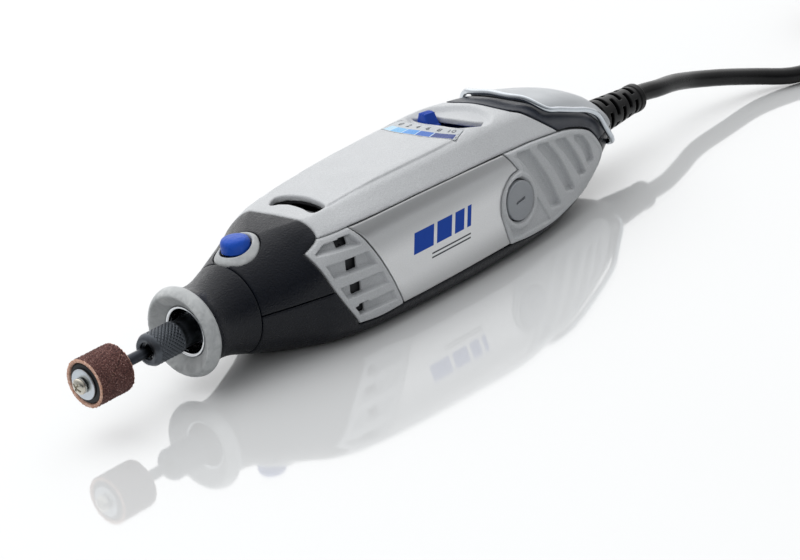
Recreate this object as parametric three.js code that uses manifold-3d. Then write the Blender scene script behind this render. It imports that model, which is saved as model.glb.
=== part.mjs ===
// Corded hand-held rotary tool lying on its belly, with a sanding drum in the collet, a mains cord folded into a tied hank and a plug.
// Millimetres, +Z up. The tool's axis runs along X: nose towards -X, tail and cord towards +X.
// Inside the group "tool" x is counted from the front rim of the nose ring and z from the spindle's axis;
// the group's place moves that frame so that the part's origin is the middle of the flat belly.
import * as THREE from "three";
import { ParametricGeometry } from "three/addons/geometries/ParametricGeometry.js";
import { mergeVertices } from "three/addons/utils/BufferGeometryUtils.js";
import Module from "manifold-3d";

// ---------------------------------------------------------------- driving dimensions
const AXIS_H = 17.25; // spindle axis above the belly
const ORIGIN_X = 90; // belly centre behind the nose ring's rim
const GAP = 0.3;
const WALL = 3.0; // housing wall
const SKIN = 1.2; // thickness of the pieces that lie in the housing's outer surface
const SEAT = 1.5; // depth of their seats
const PARTING_X = 19.5; // nose cap meets housing
const TAIL_X = 190;
const RING_R = 13.28,
  RIM_R = 11.9;
const NUT_R = 4.75,
  NUT_X0 = -12,
  NUT_X1 = 4;
const SHANK_R = 1.6;
const DRUM_X0 = -34.4,
  DRUM_X1 = -22.7,
  BAND_R = 7.05,
  BAND_IN = 6.2;
const BRUSH_X = 120.3,
  CAP_R = 6.28,
  CAP_Y = 25.35;
const CORD_D = 6.0;
const HANK_X = 371, // centre of the hank's near fold
  HANK_RUN = 62,
  HANK_Y = -2.5,
  HANK_IN = 15.6,
  HANK_OUT = 27.6,
  HANK_Z = [1.1, 24.3]; // above the surface it lies on
const BAIL_PIVOT = [183.5, -4.0],
  BAIL_R = 0.95;
const SWITCH_PIVOT_X = 147,
  SWITCH_R = 28;

// Outer cross-sections. x, zt, y1,z1,r1, y2,z2,r2, y3,r3, zb:
// crown height, crease corner, shoulder corner, lower corner (its height is zb), each with its fillet radius.
const ST = [
  [19.5, 13.4, 5.55, 13.4, 13.4, 13.4, 5.55, 13.4, 13.4, 13.4, -13.4],
  [24.0, 15.2, 6.3, 15.2, 15.2, 15.2, 6.3, 15.2, 15.2, 15.2, -15.1],
  [29.0, 17.0, 7.1, 17.0, 16.5, 17.2, 7.3, 16.8, 17.2, 16.5, -16.6],
  [34.0, 18.4, 8.0, 18.5, 16.5, 18.9, 9.0, 17.0, 19.1, 15.0, -17.25],
  [41.0, 19.8, 10.0, 20.0, 13.0, 20.6, 12.6, 14.0, 22.1, 11.0, -17.25],
  [50.0, 21.0, 11.5, 21.4, 10.0, 21.6, 15.2, 11.0, 23.7, 8.5, -17.25],
  [60.0, 22.0, 13.0, 22.3, 8.5, 22.2, 15.4, 10.0, 24.8, 7.5, -17.25],
  [80.0, 23.2, 14.5, 23.1, 7.5, 22.9, 15.0, 10.0, 25.6, 6.5, -17.25],
  [100.0, 23.9, 15.5, 23.3, 7.0, 23.4, 14.5, 10.0, 25.7, 6.0, -17.25],
  [120.0, 24.6, 15.8, 23.5, 7.0, 23.4, 14.0, 10.0, 25.5, 6.5, -17.25],
  [135.0, 24.0, 14.8, 22.5, 8.0, 22.6, 13.2, 10.0, 24.6, 7.5, -17.25],
  [150.0, 22.4, 12.5, 20.6, 9.0, 20.4, 11.6, 10.0, 22.4, 9.0, -16.8],
  [165.0, 18.8, 9.5, 17.2, 9.0, 16.9, 9.0, 9.0, 18.8, 9.5, -14.2],
  [178.0, 13.0, 6.6, 11.8, 8.0, 12.6, 5.8, 8.0, 14.2, 9.0, -10.8],
  [186.0, 7.6, 4.2, 6.9, 5.5, 9.2, 3.0, 5.5, 10.6, 6.8, -8.0],
  [190.0, 4.6, 3.0, 4.1, 3.5, 7.2, 1.5, 3.5, 8.6, 5.0, -6.3],
];

// ---------------------------------------------------------------- solids
const wasm = await Module();
wasm.setup();

function clean(geometry) {
  const g = geometry.index ? geometry : mergeVertices(geometry, 1e-5);
  const p = new THREE.BufferGeometry().setAttribute(
    "position",
    g.getAttribute("position"),
  );
  p.setIndex(g.index);
  const m = mergeVertices(p, 1e-4);
  const idx = m.index.array,
    keep = [];
  for (let i = 0; i < idx.length; i += 3) {
    const [a, b, c] = [idx[i], idx[i + 1], idx[i + 2]];
    if (a !== b && b !== c && a !== c) keep.push(a, b, c);
  }
  m.setIndex(keep);
  return m;
}
function solid(geometry) {
  const m = clean(geometry);
  const mk = (tri) =>
    new wasm.Manifold(
      new wasm.Mesh({
        numProp: 3,
        vertProperties: new Float32Array(m.attributes.position.array),
        triVerts: new Uint32Array(tri),
      }),
    );
  const tri = Array.from(m.index.array);
  let s = mk(tri);
  if (s.volume() < 0) {
    for (let i = 0; i < tri.length; i += 3)
      [tri[i + 1], tri[i + 2]] = [tri[i + 2], tri[i + 1]];
    s = mk(tri);
  }
  return s;
}
const union = (...s) => s.reduce((a, b) => a.add(b));
const cut = (a, ...b) => b.reduce((x, y) => x.subtract(y), a);
const both = (a, ...b) => b.reduce((x, y) => x.intersect(y), a);

const M = (...e) => new THREE.Matrix4().set(...e);
const Y_TO_X = M(0, 1, 0, 0, 0, 0, 1, 0, 1, 0, 0, 0, 0, 0, 0, 1);
const Y_TO_Z = M(0, 0, 1, 0, 1, 0, 0, 0, 0, 1, 0, 0, 0, 0, 0, 1);
const Z_TO_X = M(0, 0, 1, 0, 1, 0, 0, 0, 0, 1, 0, 0, 0, 0, 0, 1);
const Y_TO_MINUS_Y = M(-1, 0, 0, 0, 0, -1, 0, 0, 0, 0, 1, 0, 0, 0, 0, 1);
const v2 = (a) => new THREE.Vector2(a[0], a[1]);

// profile of [radius, place along the axis]
function lathe(profile, segments, matrix = Y_TO_X) {
  const g = new THREE.LatheGeometry(profile.map(v2), segments);
  g.applyMatrix4(matrix);
  return solid(g);
}
const rod = (r, a, b, n = 16, m = Y_TO_X) =>
  lathe([[0, a], [r, a], [r, b], [0, b]], n, m);
const tubeRing = (ri, ro, a, b, n = 24, m = Y_TO_X) =>
  lathe([[ri, a], [ro, a], [ro, b], [ri, b], [ri, a]], n, m);
function box(x0, x1, y0, y1, z0, z1) {
  const g = new THREE.BoxGeometry(x1 - x0, y1 - y0, z1 - z0);
  g.translate((x0 + x1) / 2, (y0 + y1) / 2, (z0 + z1) / 2);
  return solid(g);
}
function extrude(points, depth) {
  return new THREE.ExtrudeGeometry(new THREE.Shape(points.map(v2)), {
    depth,
    bevelEnabled: false,
    steps: 1,
  });
}
// outline in the X-Z plane, run along Y from y0 to y1
function prismXZ(points, y0, y1) {
  const g = extrude(points, y1 - y0);
  g.rotateX(Math.PI / 2);
  g.translate(0, y1, 0);
  return solid(g);
}
function prismXY(points, z0, z1) {
  const g = extrude(points, z1 - z0);
  g.translate(0, 0, z0);
  return solid(g);
}
function prismYZ(points, x0, x1) {
  const g = extrude(points, x1 - x0);
  g.applyMatrix4(Z_TO_X);
  g.translate(x0, 0, 0);
  return solid(g);
}
function ellipse(cx, cy, rx, ry, n = 24) {
  const p = [];
  for (let i = 0; i < n; i++) {
    const a = (2 * Math.PI * i) / n;
    p.push([cx + rx * Math.cos(a), cy + ry * Math.sin(a)]);
  }
  return p;
}
// band between two radii about (cx, 0), opening towards -X, half angle in degrees
function arcBand(cx, r0, r1, half, n = 6) {
  const p = [],
    h = (half * Math.PI) / 180;
  for (let i = 0; i <= n; i++) {
    const a = Math.PI - h + (2 * h * i) / n;
    p.push([cx + r0 * Math.cos(a), r0 * Math.sin(a)]);
  }
  for (let i = n; i >= 0; i--) {
    const a = Math.PI - h + (2 * h * i) / n;
    p.push([cx + r1 * Math.cos(a), r1 * Math.sin(a)]);
  }
  return p;
}
function sweep(points, radius, sides, steps, tension = 0.5) {
  const curve = new THREE.CatmullRomCurve3(
    points.map((p) => new THREE.Vector3(...p)),
    false,
    "centripetal",
    tension,
  );
  const ring = new THREE.Shape(
    ellipse(0, 0, radius, radius, sides).map(v2),
  );
  return solid(
    new THREE.ExtrudeGeometry(ring, { steps, extrudePath: curve }),
  );
}
// helix along +Y of the local frame
function spring(r, wire, y0, y1, turns, perTurn, sides, matrix) {
  const pts = [],
    n = turns * perTurn;
  for (let i = 0; i <= n; i++) {
    const a = (2 * Math.PI * i) / perTurn;
    pts.push(
      new THREE.Vector3(
        r * Math.cos(a),
        y0 + ((y1 - y0) * i) / n,
        r * Math.sin(a),
      ),
    );
  }
  const ring = new THREE.Shape(ellipse(0, 0, wire, wire, sides).map(v2));
  const g = new THREE.ExtrudeGeometry(ring, {
    steps: n,
    extrudePath: new THREE.CatmullRomCurve3(pts),
  });
  g.applyMatrix4(matrix);
  return solid(g);
}

// ---------------------------------------------------------------- the body's form
function stations(x) {
  const xs = ST.map((s) => s[0]),
    n = xs.length;
  x = Math.min(Math.max(x, xs[0]), xs[n - 1]);
  let i = 0;
  while (i < n - 2 && x >= xs[i + 1]) i++;
  const h = (k) => xs[k + 1] - xs[k],
    d = (k, c) => (ST[k + 1][c] - ST[k][c]) / h(k);
  const slope = (k, c) => {
    if (k === 0) return d(0, c);
    if (k === n - 1) return d(n - 2, c);
    const a = d(k - 1, c),
      b = d(k, c);
    if (a * b <= 0) return 0;
    const w1 = 2 * h(k) + h(k - 1),
      w2 = h(k) + 2 * h(k - 1);
    return (w1 + w2) / (w1 / a + w2 / b);
  };
  const t = (x - xs[i]) / h(i),
    out = [];
  for (let c = 1; c < ST[0].length; c++)
    out.push(
      (2 * t ** 3 - 3 * t ** 2 + 1) * ST[i][c] +
        (t ** 3 - 2 * t ** 2 + t) * h(i) * slope(i, c) +
        (-2 * t ** 3 + 3 * t ** 2) * ST[i + 1][c] +
        (t ** 3 - t ** 2) * h(i) * slope(i + 1, c),
    );
  return out;
}
const ARC = 2;
// section at x, moved inwards by off: a rounded polygon, clockwise seen with Y to the right and Z up
function section(x, off = 0, arc = ARC) {
  const [zt, y1, z1, r1, y2, z2, r2, y3, r3, zb] = stations(x);
  const P = [
    [0, zt],
    [y1, z1],
    [y2, z2],
    [y3, zb],
    [-y3, zb],
    [-y2, z2],
    [-y1, z1],
  ];
  const r = [40, r1, r2, r3, r3, r2, r1],
    n = P.length;
  const u = [],
    L = [];
  for (let i = 0; i < n; i++) {
    const q = P[(i + 1) % n],
      e = [q[0] - P[i][0], q[1] - P[i][1]],
      l = Math.hypot(...e);
    L.push(l);
    u.push([e[0] / l, e[1] / l]);
  }
  const turn = u.map((b, i) => {
    const a = u[(i + n - 1) % n];
    return Math.abs(
      Math.atan2(a[0] * b[1] - a[1] * b[0], a[0] * b[0] + a[1] * b[1]),
    );
  });
  const t = turn.map((a, i) => r[i] * Math.tan(a / 2));
  for (let i = 0; i < n; i++) {
    const j = (i + 1) % n,
      s = t[i] + t[j];
    if (s > L[i] * 0.999) {
      const k = (L[i] * 0.999) / s;
      t[i] *= k;
      t[j] *= k;
    }
  }
  const out = [];
  for (let i = 0; i < n; i++) {
    const w = u[(i + n - 1) % n],
      a = [P[i][0] - w[0] * t[i], P[i][1] - w[1] * t[i]];
    const k1 = i === 0 ? 1 : arc; // the crown is nearly flat
    const nr = [w[1], -w[0]];
    if (turn[i] < 1e-5) {
      for (let k = 0; k <= k1; k++)
        out.push([
          P[i][0] + nr[0] * off + u[i][0] * 0.05 * k,
          P[i][1] + nr[1] * off + u[i][1] * 0.05 * k,
        ]);
      continue;
    }
    const rr = t[i] / Math.tan(turn[i] / 2);
    const c = [a[0] + nr[0] * rr, a[1] + nr[1] * rr],
      va = [a[0] - c[0], a[1] - c[1]];
    for (let k = 0; k <= k1; k++) {
      const g = (-turn[i] * k) / k1,
        cs = Math.cos(g),
        sn = Math.sin(g);
      const v = [va[0] * cs - va[1] * sn, va[0] * sn + va[1] * cs];
      const s = (rr - off) / rr;
      out.push([c[0] + v[0] * s, c[1] + v[1] * s]);
    }
  }
  return out;
}
const LOFT_X = [
  19.5, 24, 29, 35, 42, 50, 62, 82, 103, 122, 136, 149, 160, 170, 178, 185, 190,
];
function body(off, x0 = PARTING_X, x1 = TAIL_X, arc = ARC) {
  const xs = [
    x0,
    ...LOFT_X.filter((x) => x > x0 + 0.6 && x < x1 - 0.6),
    x1,
  ];
  const secs = xs.map((x) => section(x, off, arc)),
    N = secs[0].length,
    rows = xs.length + 1;
  const g = new ParametricGeometry(
    (uu, vv, target) => {
      const j = Math.round(uu * N) % N,
        i = Math.round(vv * rows);
      if (i === 0) return target.set(x0, 0, 0);
      if (i === rows) return target.set(x1, 0, 0);
      return target.set(xs[i - 1], secs[i - 1][j][0], secs[i - 1][j][1]);
    },
    N,
    rows,
  );
  return solid(g);
}
// half width of the outer surface at x and height z; height of it at x and half width y
function surfY(x, z) {
  const s = section(x);
  let best = 0;
  s.forEach((a, i) => {
    const b = s[(i + 1) % s.length];
    if ((a[1] - z) * (b[1] - z) <= 0 && a[1] !== b[1])
      best = Math.max(best, a[0] + ((b[0] - a[0]) * (z - a[1])) / (b[1] - a[1]));
  });
  return best;
}
function surfZ(x, y) {
  const s = section(x);
  let best = -99;
  s.forEach((a, i) => {
    const b = s[(i + 1) % s.length];
    if ((a[0] - y) * (b[0] - y) <= 0 && a[0] !== b[0])
      best = Math.max(best, a[1] + ((b[1] - a[1]) * (y - a[0])) / (b[0] - a[0]));
  });
  return best;
}

// ---------------------------------------------------------------- the assembly
const root = new THREE.Group();
const tool = new THREE.Group();
tool.position.set(-ORIGIN_X, 0, AXIS_H);
root.add(tool);
const lead = new THREE.Group(); // the free cord, in the same frame
tool.add(lead);
const drive = new THREE.Group(); // what turns with the spindle
tool.add(drive);

const GREY = 0xbcbfc3,
  RIMGREY = 0xc3c8c8,
  BLACK = 0x26282c,
  SLATE = 0x3c414b,
  BLUE = 0x2355b9,
  STEEL = 0xb9bcc0,
  COPPER = 0xb5703a,
  BRASS = 0xc9a34a,
  DARKSTEEL = 0x32373e;
function add(group, name, s, color, roughness, metalness, shift) {
  const m = s.getMesh(),
    n = m.numProp,
    v = new Float32Array(m.numVert * 3);
  for (let i = 0; i < m.numVert; i++)
    v.set(m.vertProperties.subarray(i * n, i * n + 3), i * 3);
  const g = new THREE.BufferGeometry();
  g.setAttribute("position", new THREE.BufferAttribute(v, 3));
  g.setIndex(new THREE.BufferAttribute(new Uint32Array(m.triVerts), 1));
  g.computeVertexNormals();
  const mesh = new THREE.Mesh(
    g,
    new THREE.MeshStandardMaterial({ color, roughness, metalness }),
  );
  mesh.name = name;
  if (shift) mesh.position.set(...shift);
  group.add(mesh);
  return mesh;
}
const SIDES = [
  ["left", -1],
  ["right", 1],
];

// --- outlines on the side, [x, z]
const GRILLE = [
  [37.1, 12.3], [44, 14.1], [51.2, 15.6], [54.4, 11.6], [58.7, 4.6],
  [61.9, -2.6], [63.7, -8.0], [64.8, -11.9], [56, -12.4], [48.4, -11.8],
  [44.6, -5.2], [41, 2],
];
const PANEL = [
  [51.7, 15.6], [85, 15.6], [117.9, 14.9], [119.6, 12.2], [118.2, 9.6],
  [114.4, 7.6], [112.1, 4.2], [111.1, 0], [111.5, -5], [113.1, -11.3],
  [90, -11.4], [65.3, -11.6], [64.1, -7.6], [62.3, -2.3], [59.1, 4.9],
  [54.8, 12.0],
];
const GRIP = [
  [118.4, 15.0], [132.3, 14.1], [147.8, 11.9], [156.9, 9.7], [166.5, 5.9],
  [171.6, 1.6], [175.2, -3.6], [173.8, -7.6], [164, -10.9], [150, -12.0],
  [135.6, -13.2], [123.2, -12.6], [113.5, -11.6], [111.9, -5], [111.5, 0],
  [112.5, 4.0], [114.7, 7.25], [118.6, 9.3], [120.1, 12.2],
];
const SEAT_OUTLINE = [
  [36.6, 12.45], [44, 14.45], [51.5, 15.95], [85, 15.95], [118.2, 15.35],
  [132.5, 14.45], [148, 12.25], [157.1, 10.05], [166.9, 6.15], [172.1, 1.7],
  [175.8, -3.6], [174.3, -8.0], [164.1, -11.25], [150, -12.35],
  [135.6, -13.55], [123, -12.95], [113.2, -11.95], [90, -11.75],
  [65.2, -12.0], [56, -12.75], [48.1, -12.15], [44.3, -5.3], [40.6, 2],
];
// --- boundaries of the upper skins seen from the side
const FRONT_GRIP = [
  [19.8, 0.15], [19.8, 30], [42.4, 30], [42.4, 20], [42.7, 16.2],
  [36.1, 12.5], [40.2, 2.1], [41.2, 0.15],
];
const FRONT_SEAT = [
  [19, -0.5], [19, 31], [42.7, 31], [42.7, 20], [43.05, 16.1],
  [36.5, 12.4], [40.5, 2.1], [42.1, -0.5],
];
const BAND_REAR = [
  [133.4, 30], [133.6, 23.4], [137.2, 21.2], [141.8, 17.6], [147.9, 12.55],
  [157.1, 10.35], [167.1, 6.45], [172.3, 2.0], [173.6, 0.15], [181.4, 0.15],
  [175.5, 6.2], [169, 10.8], [160, 14.4], [151, 17.9], [144, 22.0],
  [141, 24.4], [140.6, 30],
];
const CAP_REAR = [
  [140.9, 30], [141.3, 24.5], [144.3, 22.2], [151.3, 18.2], [160.3, 14.7],
  [169.3, 11.1], [175.9, 6.4], [182, 0.15], [188.2, 0.15], [188.2, 30],
];
const REAR_SEAT = [
  [133.1, 31], [133.3, 23.3], [137, 21.0], [141.6, 17.3], [147.8, 12.2],
  [157, 10.0], [167, 6.1], [172.2, 1.6], [173.9, -0.5], [191, -0.5],
  [191, 31],
];

const outer = body(0);
const skinIn = body(SKIN, 10, 200);
const seatIn = body(SEAT, 10, 200);
const proud = body(-0.6, 10, 200);
const skin = cut(outer, skinIn);
const seatLayer = cut(body(-3, 10, 200), seatIn);
const cavity = body(WALL, 10, 183.8, 1);

// bulkheads that carry the two bearings
const frontBulk = both(
  body(WALL - 0.5, PARTING_X, TAIL_X, 1),
  box(19.9, 28, -30, 30, -30, 30),
);
const rearBulk = cut(
  both(body(WALL - 0.5, PARTING_X, TAIL_X, 1), box(132, 138, -30, 30, -30, 30)),
  rod(8.3, 120, 150, 20),
  box(120, 150, -30, 30, 8.6, 40),
);
let shell = union(cut(outer, cavity), frontBulk, rearBulk);
shell = cut(shell, rod(8.3, 10, 29, 20), rod(6.0, 180, 200, 20)); // seat of the front bearing; way out for the strain relief
for (const [, s] of SIDES) {
  const y0 = s < 0 ? -40 : 5,
    y1 = s < 0 ? -5 : 40;
  shell = cut(shell, both(seatLayer, prismXZ(SEAT_OUTLINE, y0, y1)));
  shell = cut(shell, prismXZ([[47.2, -9.6], [53.4, -9.6], [53.4, 14.2], [47.2, 14.2]], y0, y1)); // air window behind the grille
  shell = cut(shell, rod(5.6, s < 0 ? -40 : 12, s < 0 ? -12 : 40, 16, M(1, 0, 0, BRUSH_X, 0, 1, 0, 0, 0, 0, 1, 0, 0, 0, 0, 1))); // brush access
  shell = cut(shell, rod(6.8, s < 0 ? -40 : 22.3, s < 0 ? -22.3 : 40, 18, M(1, 0, 0, BRUSH_X, 0, 1, 0, 0, 0, 0, 1, 0, 0, 0, 0, 1))); // room for the brush cap's head
  shell = cut(shell, rod(1.3, s < 0 ? -14 : 7.2, s < 0 ? -7.2 : 14, 8, M(1, 0, 0, BAIL_PIVOT[0], 0, 1, 0, 0, 0, 0, 1, BAIL_PIVOT[1], 0, 0, 0, 1))); // bail pivot holes
}
const SCREWS = [
  ["housing_screw_front_left", 33, -11.5],
  ["housing_screw_front_right", 33, 11.5],
  ["housing_screw_rear_left", 143.5, -15.5],
  ["housing_screw_rear_right", 143.5, 15.5],
];

// --- lower housing
let lower = both(shell, box(19.8, 200, -40, 40, -40, -0.1));
for (const [, x, y] of SCREWS) {
  const at = M(1, 0, 0, x, 0, 1, 0, y, 0, 0, 1, 0, 0, 0, 0, 1);
  const post = both(rod(3.4, -30, -0.1, 12, at.clone().multiply(Y_TO_Z)), body(WALL - 0.5, PARTING_X, TAIL_X, 1));
  lower = cut(union(lower, post), rod(1.5, -30, 1, 10, at.clone().multiply(Y_TO_Z)), rod(2.9, -30, -8, 12, at.clone().multiply(Y_TO_Z)));
}
add(tool, "lower_housing", lower, BLACK, 0.6, 0);

// --- upper housing
let upper = both(shell, box(19.8, 200, -40, 40, 0.1, 40));
upper = cut(upper, both(seatLayer, prismXZ(FRONT_SEAT, -40, 40)));
upper = cut(upper, both(seatLayer, prismXZ(REAR_SEAT, -40, 40)));
upper = cut(upper, prismXY([[48.6, -9.5], [53.6, -9.5], [54.6, 0], [53.6, 9.5], [48.6, 9.5], [49.6, 0]], 12, 40)); // front air slot
upper = cut(upper, both(cut(body(-3, 10, 200), body(0.9, 10, 200)), prismXY(ellipse(120.5, 0, 9.5, 15.5, 18), 15, 40))); // dish
upper = cut(upper, prismXY(arcBand(SWITCH_PIVOT_X, 25.2, 31.2, 25), 15, 40)); // slot of the speed switch
upper = cut(upper, both(cut(body(-3, 10, 200), body(0.5, 10, 200)), prismXY(arcBand(SWITCH_PIVOT_X, 35.8, 44.3, 20.6), 15, 40))); // seat of the scale
upper = cut(upper, rod(3.1, 4, 40, 14, M(1, 0, 0, 26.3, 0, 1, 0, 0, 0, 0, 1, 0, 0, 0, 0, 1).multiply(Y_TO_Z)));
upper = cut(upper, rod(5.2, 12.2, 40, 16, M(1, 0, 0, 26.3, 0, 1, 0, 0, 0, 0, 1, 0, 0, 0, 0, 1).multiply(Y_TO_Z)));
for (const [, x, y] of SCREWS) {
  const at = M(1, 0, 0, x, 0, 1, 0, y, 0, 0, 1, 0, 0, 0, 0, 1);
  const post = both(rod(3.2, 0.1, 30, 12, at.clone().multiply(Y_TO_Z)), body(WALL - 0.5, PARTING_X, TAIL_X, 1));
  upper = cut(union(upper, post), rod(1.5, -1, 10.3, 10, at.clone().multiply(Y_TO_Z)));
}
add(tool, "upper_housing", upper, GREY, 0.55, 0);

// --- black front grip with the hole for the lock bezel
const bezelOutline = (g) =>
  ellipse(26.4, 0, 6.4 + g, 6.9 + g, 18);
add(
  tool,
  "front_grip",
  cut(
    both(skin, prismXZ(FRONT_GRIP, -40, 40)),
    prismXY(bezelOutline(0.3), 5, 40),
  ),
  BLACK, 0.65, 0,
);
add(
  tool,
  "lock_bezel",
  cut(
    both(cut(body(-0.7, 10, 200), skinIn), prismXY(bezelOutline(0), 5, 40)),
    rod(4.9, 5, 40, 18, M(1, 0, 0, 26.3, 0, 1, 0, 0, 0, 0, 1, 0, 0, 0, 0, 1).multiply(Y_TO_Z)),
  ),
  RIMGREY, 0.5, 0,
);
// --- lock button: domed head, stem, pin that drops into the spindle's collar
const atButton = M(1, 0, 0, 26.3, 0, 1, 0, 0, 0, 0, 1, 0, 0, 0, 0, 1).multiply(Y_TO_Z);
add(
  tool,
  "lock_button",
  lathe(
    [[0, 5.6], [1.5, 5.6], [1.5, 8.2], [2.7, 8.2], [2.7, 15.2], [4.5, 15.2], [4.5, 17.4], [3.7, 18.1], [2.2, 18.5], [0, 18.6]],
    18,
    atButton,
  ),
  BLUE, 0.4, 0,
);
add(tool, "lock_spring", spring(3.8, 0.35, 12.7, 14.7, 2, 8, 4, atButton), STEEL, 0.35, 1);

// --- sides: panels, grilles, grips, brush gear
for (const [side, s] of SIDES) {
  const y0 = s < 0 ? -40 : 5,
    y1 = s < 0 ? -5 : 40;
  add(tool, "side_panel_" + side, both(skin, prismXZ(PANEL, y0, y1)), 0xb8bbbe, 0.3, 0.85);
  let grille = both(skin, prismXZ(GRILLE, y0, y1));
  for (const [x, z, w, h] of [[48.9, 12.5, 3.8, 3.4], [50.2, 5.6, 3.8, 3.8], [50.1, -1.4, 3.8, 3.8], [49.9, -7.4, 3.6, 3.4]])
    grille = cut(grille, prismXZ([[x - w / 2, z - h / 2], [x + w / 2, z - h / 2], [x + w / 2, z + h / 2], [x - w / 2, z + h / 2]], y0, y1));
  add(tool, "front_grille_" + side, grille, GREY, 0.55, 0);
  let grip = both(skin, prismXZ(GRIP, y0, y1));
  const shallow = cut(body(-3, 10, 200), body(0.7, 10, 200));
  for (const q of [
    [[124.2, 12.6], [129.0, 12.2], [136, 4], [140.6, -8.4], [136.4, -8.0], [131.5, 3.6]],
    [[134.9, 12.0], [139, 11.0], [146, 4], [149.8, -6.8], [146.2, -6.2], [142, 3.4]],
    [[145.2, 10.0], [149.8, 8.9], [155.2, 3], [158.8, -5.0], [155.4, -4.4], [151.5, 2.4]],
    [[156.2, 7.4], [161.6, 5.2], [165, 1], [166, -3.4], [162.6, -3.4], [160.5, 1.8]],
  ])
    grip = cut(grip, both(shallow, prismXZ(q, y0, y1)));
  const atBrush = M(1, 0, 0, BRUSH_X, 0, 1, 0, 0, 0, 0, 1, 0, 0, 0, 0, 1);
  const flip = s > 0 ? atBrush : atBrush.clone().multiply(Y_TO_MINUS_Y);
  grip = cut(grip, rod(CAP_R + 0.5, 10, 40, 18, flip));
  add(tool, "rear_grip_" + side, grip, GREY, 0.6, 0);
  // cap with its thread, screwdriver slot in the face
  const cap = cut(
    lathe([[0, 19.6], [4.9, 19.6], [4.9, 23.0], [CAP_R, 23.0], [CAP_R, CAP_Y - 0.35], [CAP_R - 0.4, CAP_Y], [0, CAP_Y]], 18, flip),
    s > 0 ? box(BRUSH_X - 2.2, BRUSH_X + 2.2, CAP_Y - 0.8, CAP_Y + 1, -0.45, 0.45) : box(BRUSH_X - 2.2, BRUSH_X + 2.2, -CAP_Y - 1, -CAP_Y + 0.8, -0.45, 0.45),
  );
  add(tool, "brush_cap_" + side, cap, 0x8f949a, 0.5, 0);
  // brass holder: square tube
  const hy0 = s > 0 ? 8.6 : -19.2,
    hy1 = s > 0 ? 19.2 : -8.6;
  add(
    tool,
    "brush_holder_" + side,
    cut(box(BRUSH_X - 4.2, BRUSH_X + 4.2, hy0, hy1, -3.7, 3.7), box(BRUSH_X - 3.3, BRUSH_X + 3.3, hy0 - 1, hy1 + 1, -2.8, 2.8)),
    BRASS, 0.35, 1,
  );
  add(
    tool,
    "carbon_brush_" + side,
    s > 0 ? box(BRUSH_X - 3, BRUSH_X + 3, 7.4, 14.2, -2.5, 2.5) : box(BRUSH_X - 3, BRUSH_X + 3, -14.2, -7.4, -2.5, 2.5),
    0x2b2b2d, 0.7, 0.1,
  );
  add(tool, "brush_spring_" + side, spring(1.9, 0.3, 15.15, 18.9, 3, 7, 4, flip), STEEL, 0.35, 1);
}

// --- tail
const holeForRelief = rod(6.6, 170, 200, 20);
add(tool, "rear_band", cut(both(skin, prismXZ(BAND_REAR, -40, 40)), holeForRelief), SLATE, 0.55, 0);
add(
  tool,
  "rear_cap",
  cut(both(cut(proud, skinIn), prismXZ(CAP_REAR, -40, 40), box(130, 188, -40, 40, 0.15, 40)), holeForRelief),
  RIMGREY, 0.5, 0,
);
// bail: wire bow folded forward over the cap, ends turned into the housing
const bailHalf = [
  [141.2, 0, surfZ(141.2, 0) + 1.7],
  [141.3, 6.5, surfZ(141.3, 6.5) + 1.7],
  [143.2, 11.5, surfZ(143.2, 11.5) + 1.7],
  [147.2, surfY(147.2, 18.6) + 1.6, 19.4],
  [153, surfY(153, 16.4) + 1.7, 17.4],
  [161, surfY(161, 13.6) + 1.7, 14.6],
  [169, surfY(169, 10.6) + 1.8, 11.8],
  [174.5, surfY(174.5, 7.6) + 2.0, 8.4],
  [178.5, surfY(178.5, 2.0) + 1.6, 2.6],
  [181.4, surfY(181.4, -1.8) + 2.2, -1.8],
];
const eye = surfY(183.5, -4);
const bailPts = [
  [BAIL_PIVOT[0], eye - 1.8, BAIL_PIVOT[1]],
  [BAIL_PIVOT[0], eye + 0.8, BAIL_PIVOT[1]],
  [BAIL_PIVOT[0] - 0.6, eye + 2.2, BAIL_PIVOT[1] + 0.6],
  ...bailHalf.slice(0).reverse(),
];
const bailAll = [
  ...bailPts.map(([x, y, z]) => [x, y, z]),
  ...bailPts.slice(0, -1).reverse().map(([x, y, z]) => [x, -y, z]),
];
add(tool, "hanger_bail", sweep(bailAll, BAIL_R, 6, 42), 0xd0d4d8, 0.15, 1);

// --- speed switch
// the lever rests at its off end
const off = -17;
{
  const a = (off * Math.PI) / 180,
    c = Math.cos(a),
    s = Math.sin(a);
  const k = arcBand(0, 24.4, 32.0, 6.8, 3).map(([x, y]) => [SWITCH_PIVOT_X + x * c - y * s, x * s + y * c]);
  const q = [[-30.6, -3.0], [-25.8, -3.0], [-25.8, 3.0], [-30.6, 3.0]].map(([x, y]) => [SWITCH_PIVOT_X + x * c - y * s, x * s + y * c]);
  add(tool, "speed_switch_lever", union(prismXY(k, 17.9, 19.3), prismXY(q, 19.0, 24.7)), BLUE, 0.35, 0);
}
add(tool, "switch_body", box(104, 131.4, -12.5, 12.5, 10.2, 17.2), 0x35383c, 0.7, 0);
add(
  tool,
  "speed_scale",
  both(cut(body(-0.15, 10, 200), body(0.2, 10, 200)), prismXY(arcBand(SWITCH_PIVOT_X, 36.1, 44.0, 20.2), 15, 40)),
  0x4a8fd0, 0.35, 0,
);

// --- screws, from below
for (const [name, x, y] of SCREWS) {
  const at = M(1, 0, 0, x, 0, 1, 0, y, 0, 0, 1, 0, 0, 0, 0, 1).multiply(Y_TO_Z);
  add(tool, name, lathe([[0, -10.6], [2.5, -10.6], [2.5, -8.3], [1.2, -8.3], [1.2, 8.6], [0, 8.6]], 12, at), STEEL, 0.35, 1);
}

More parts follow.
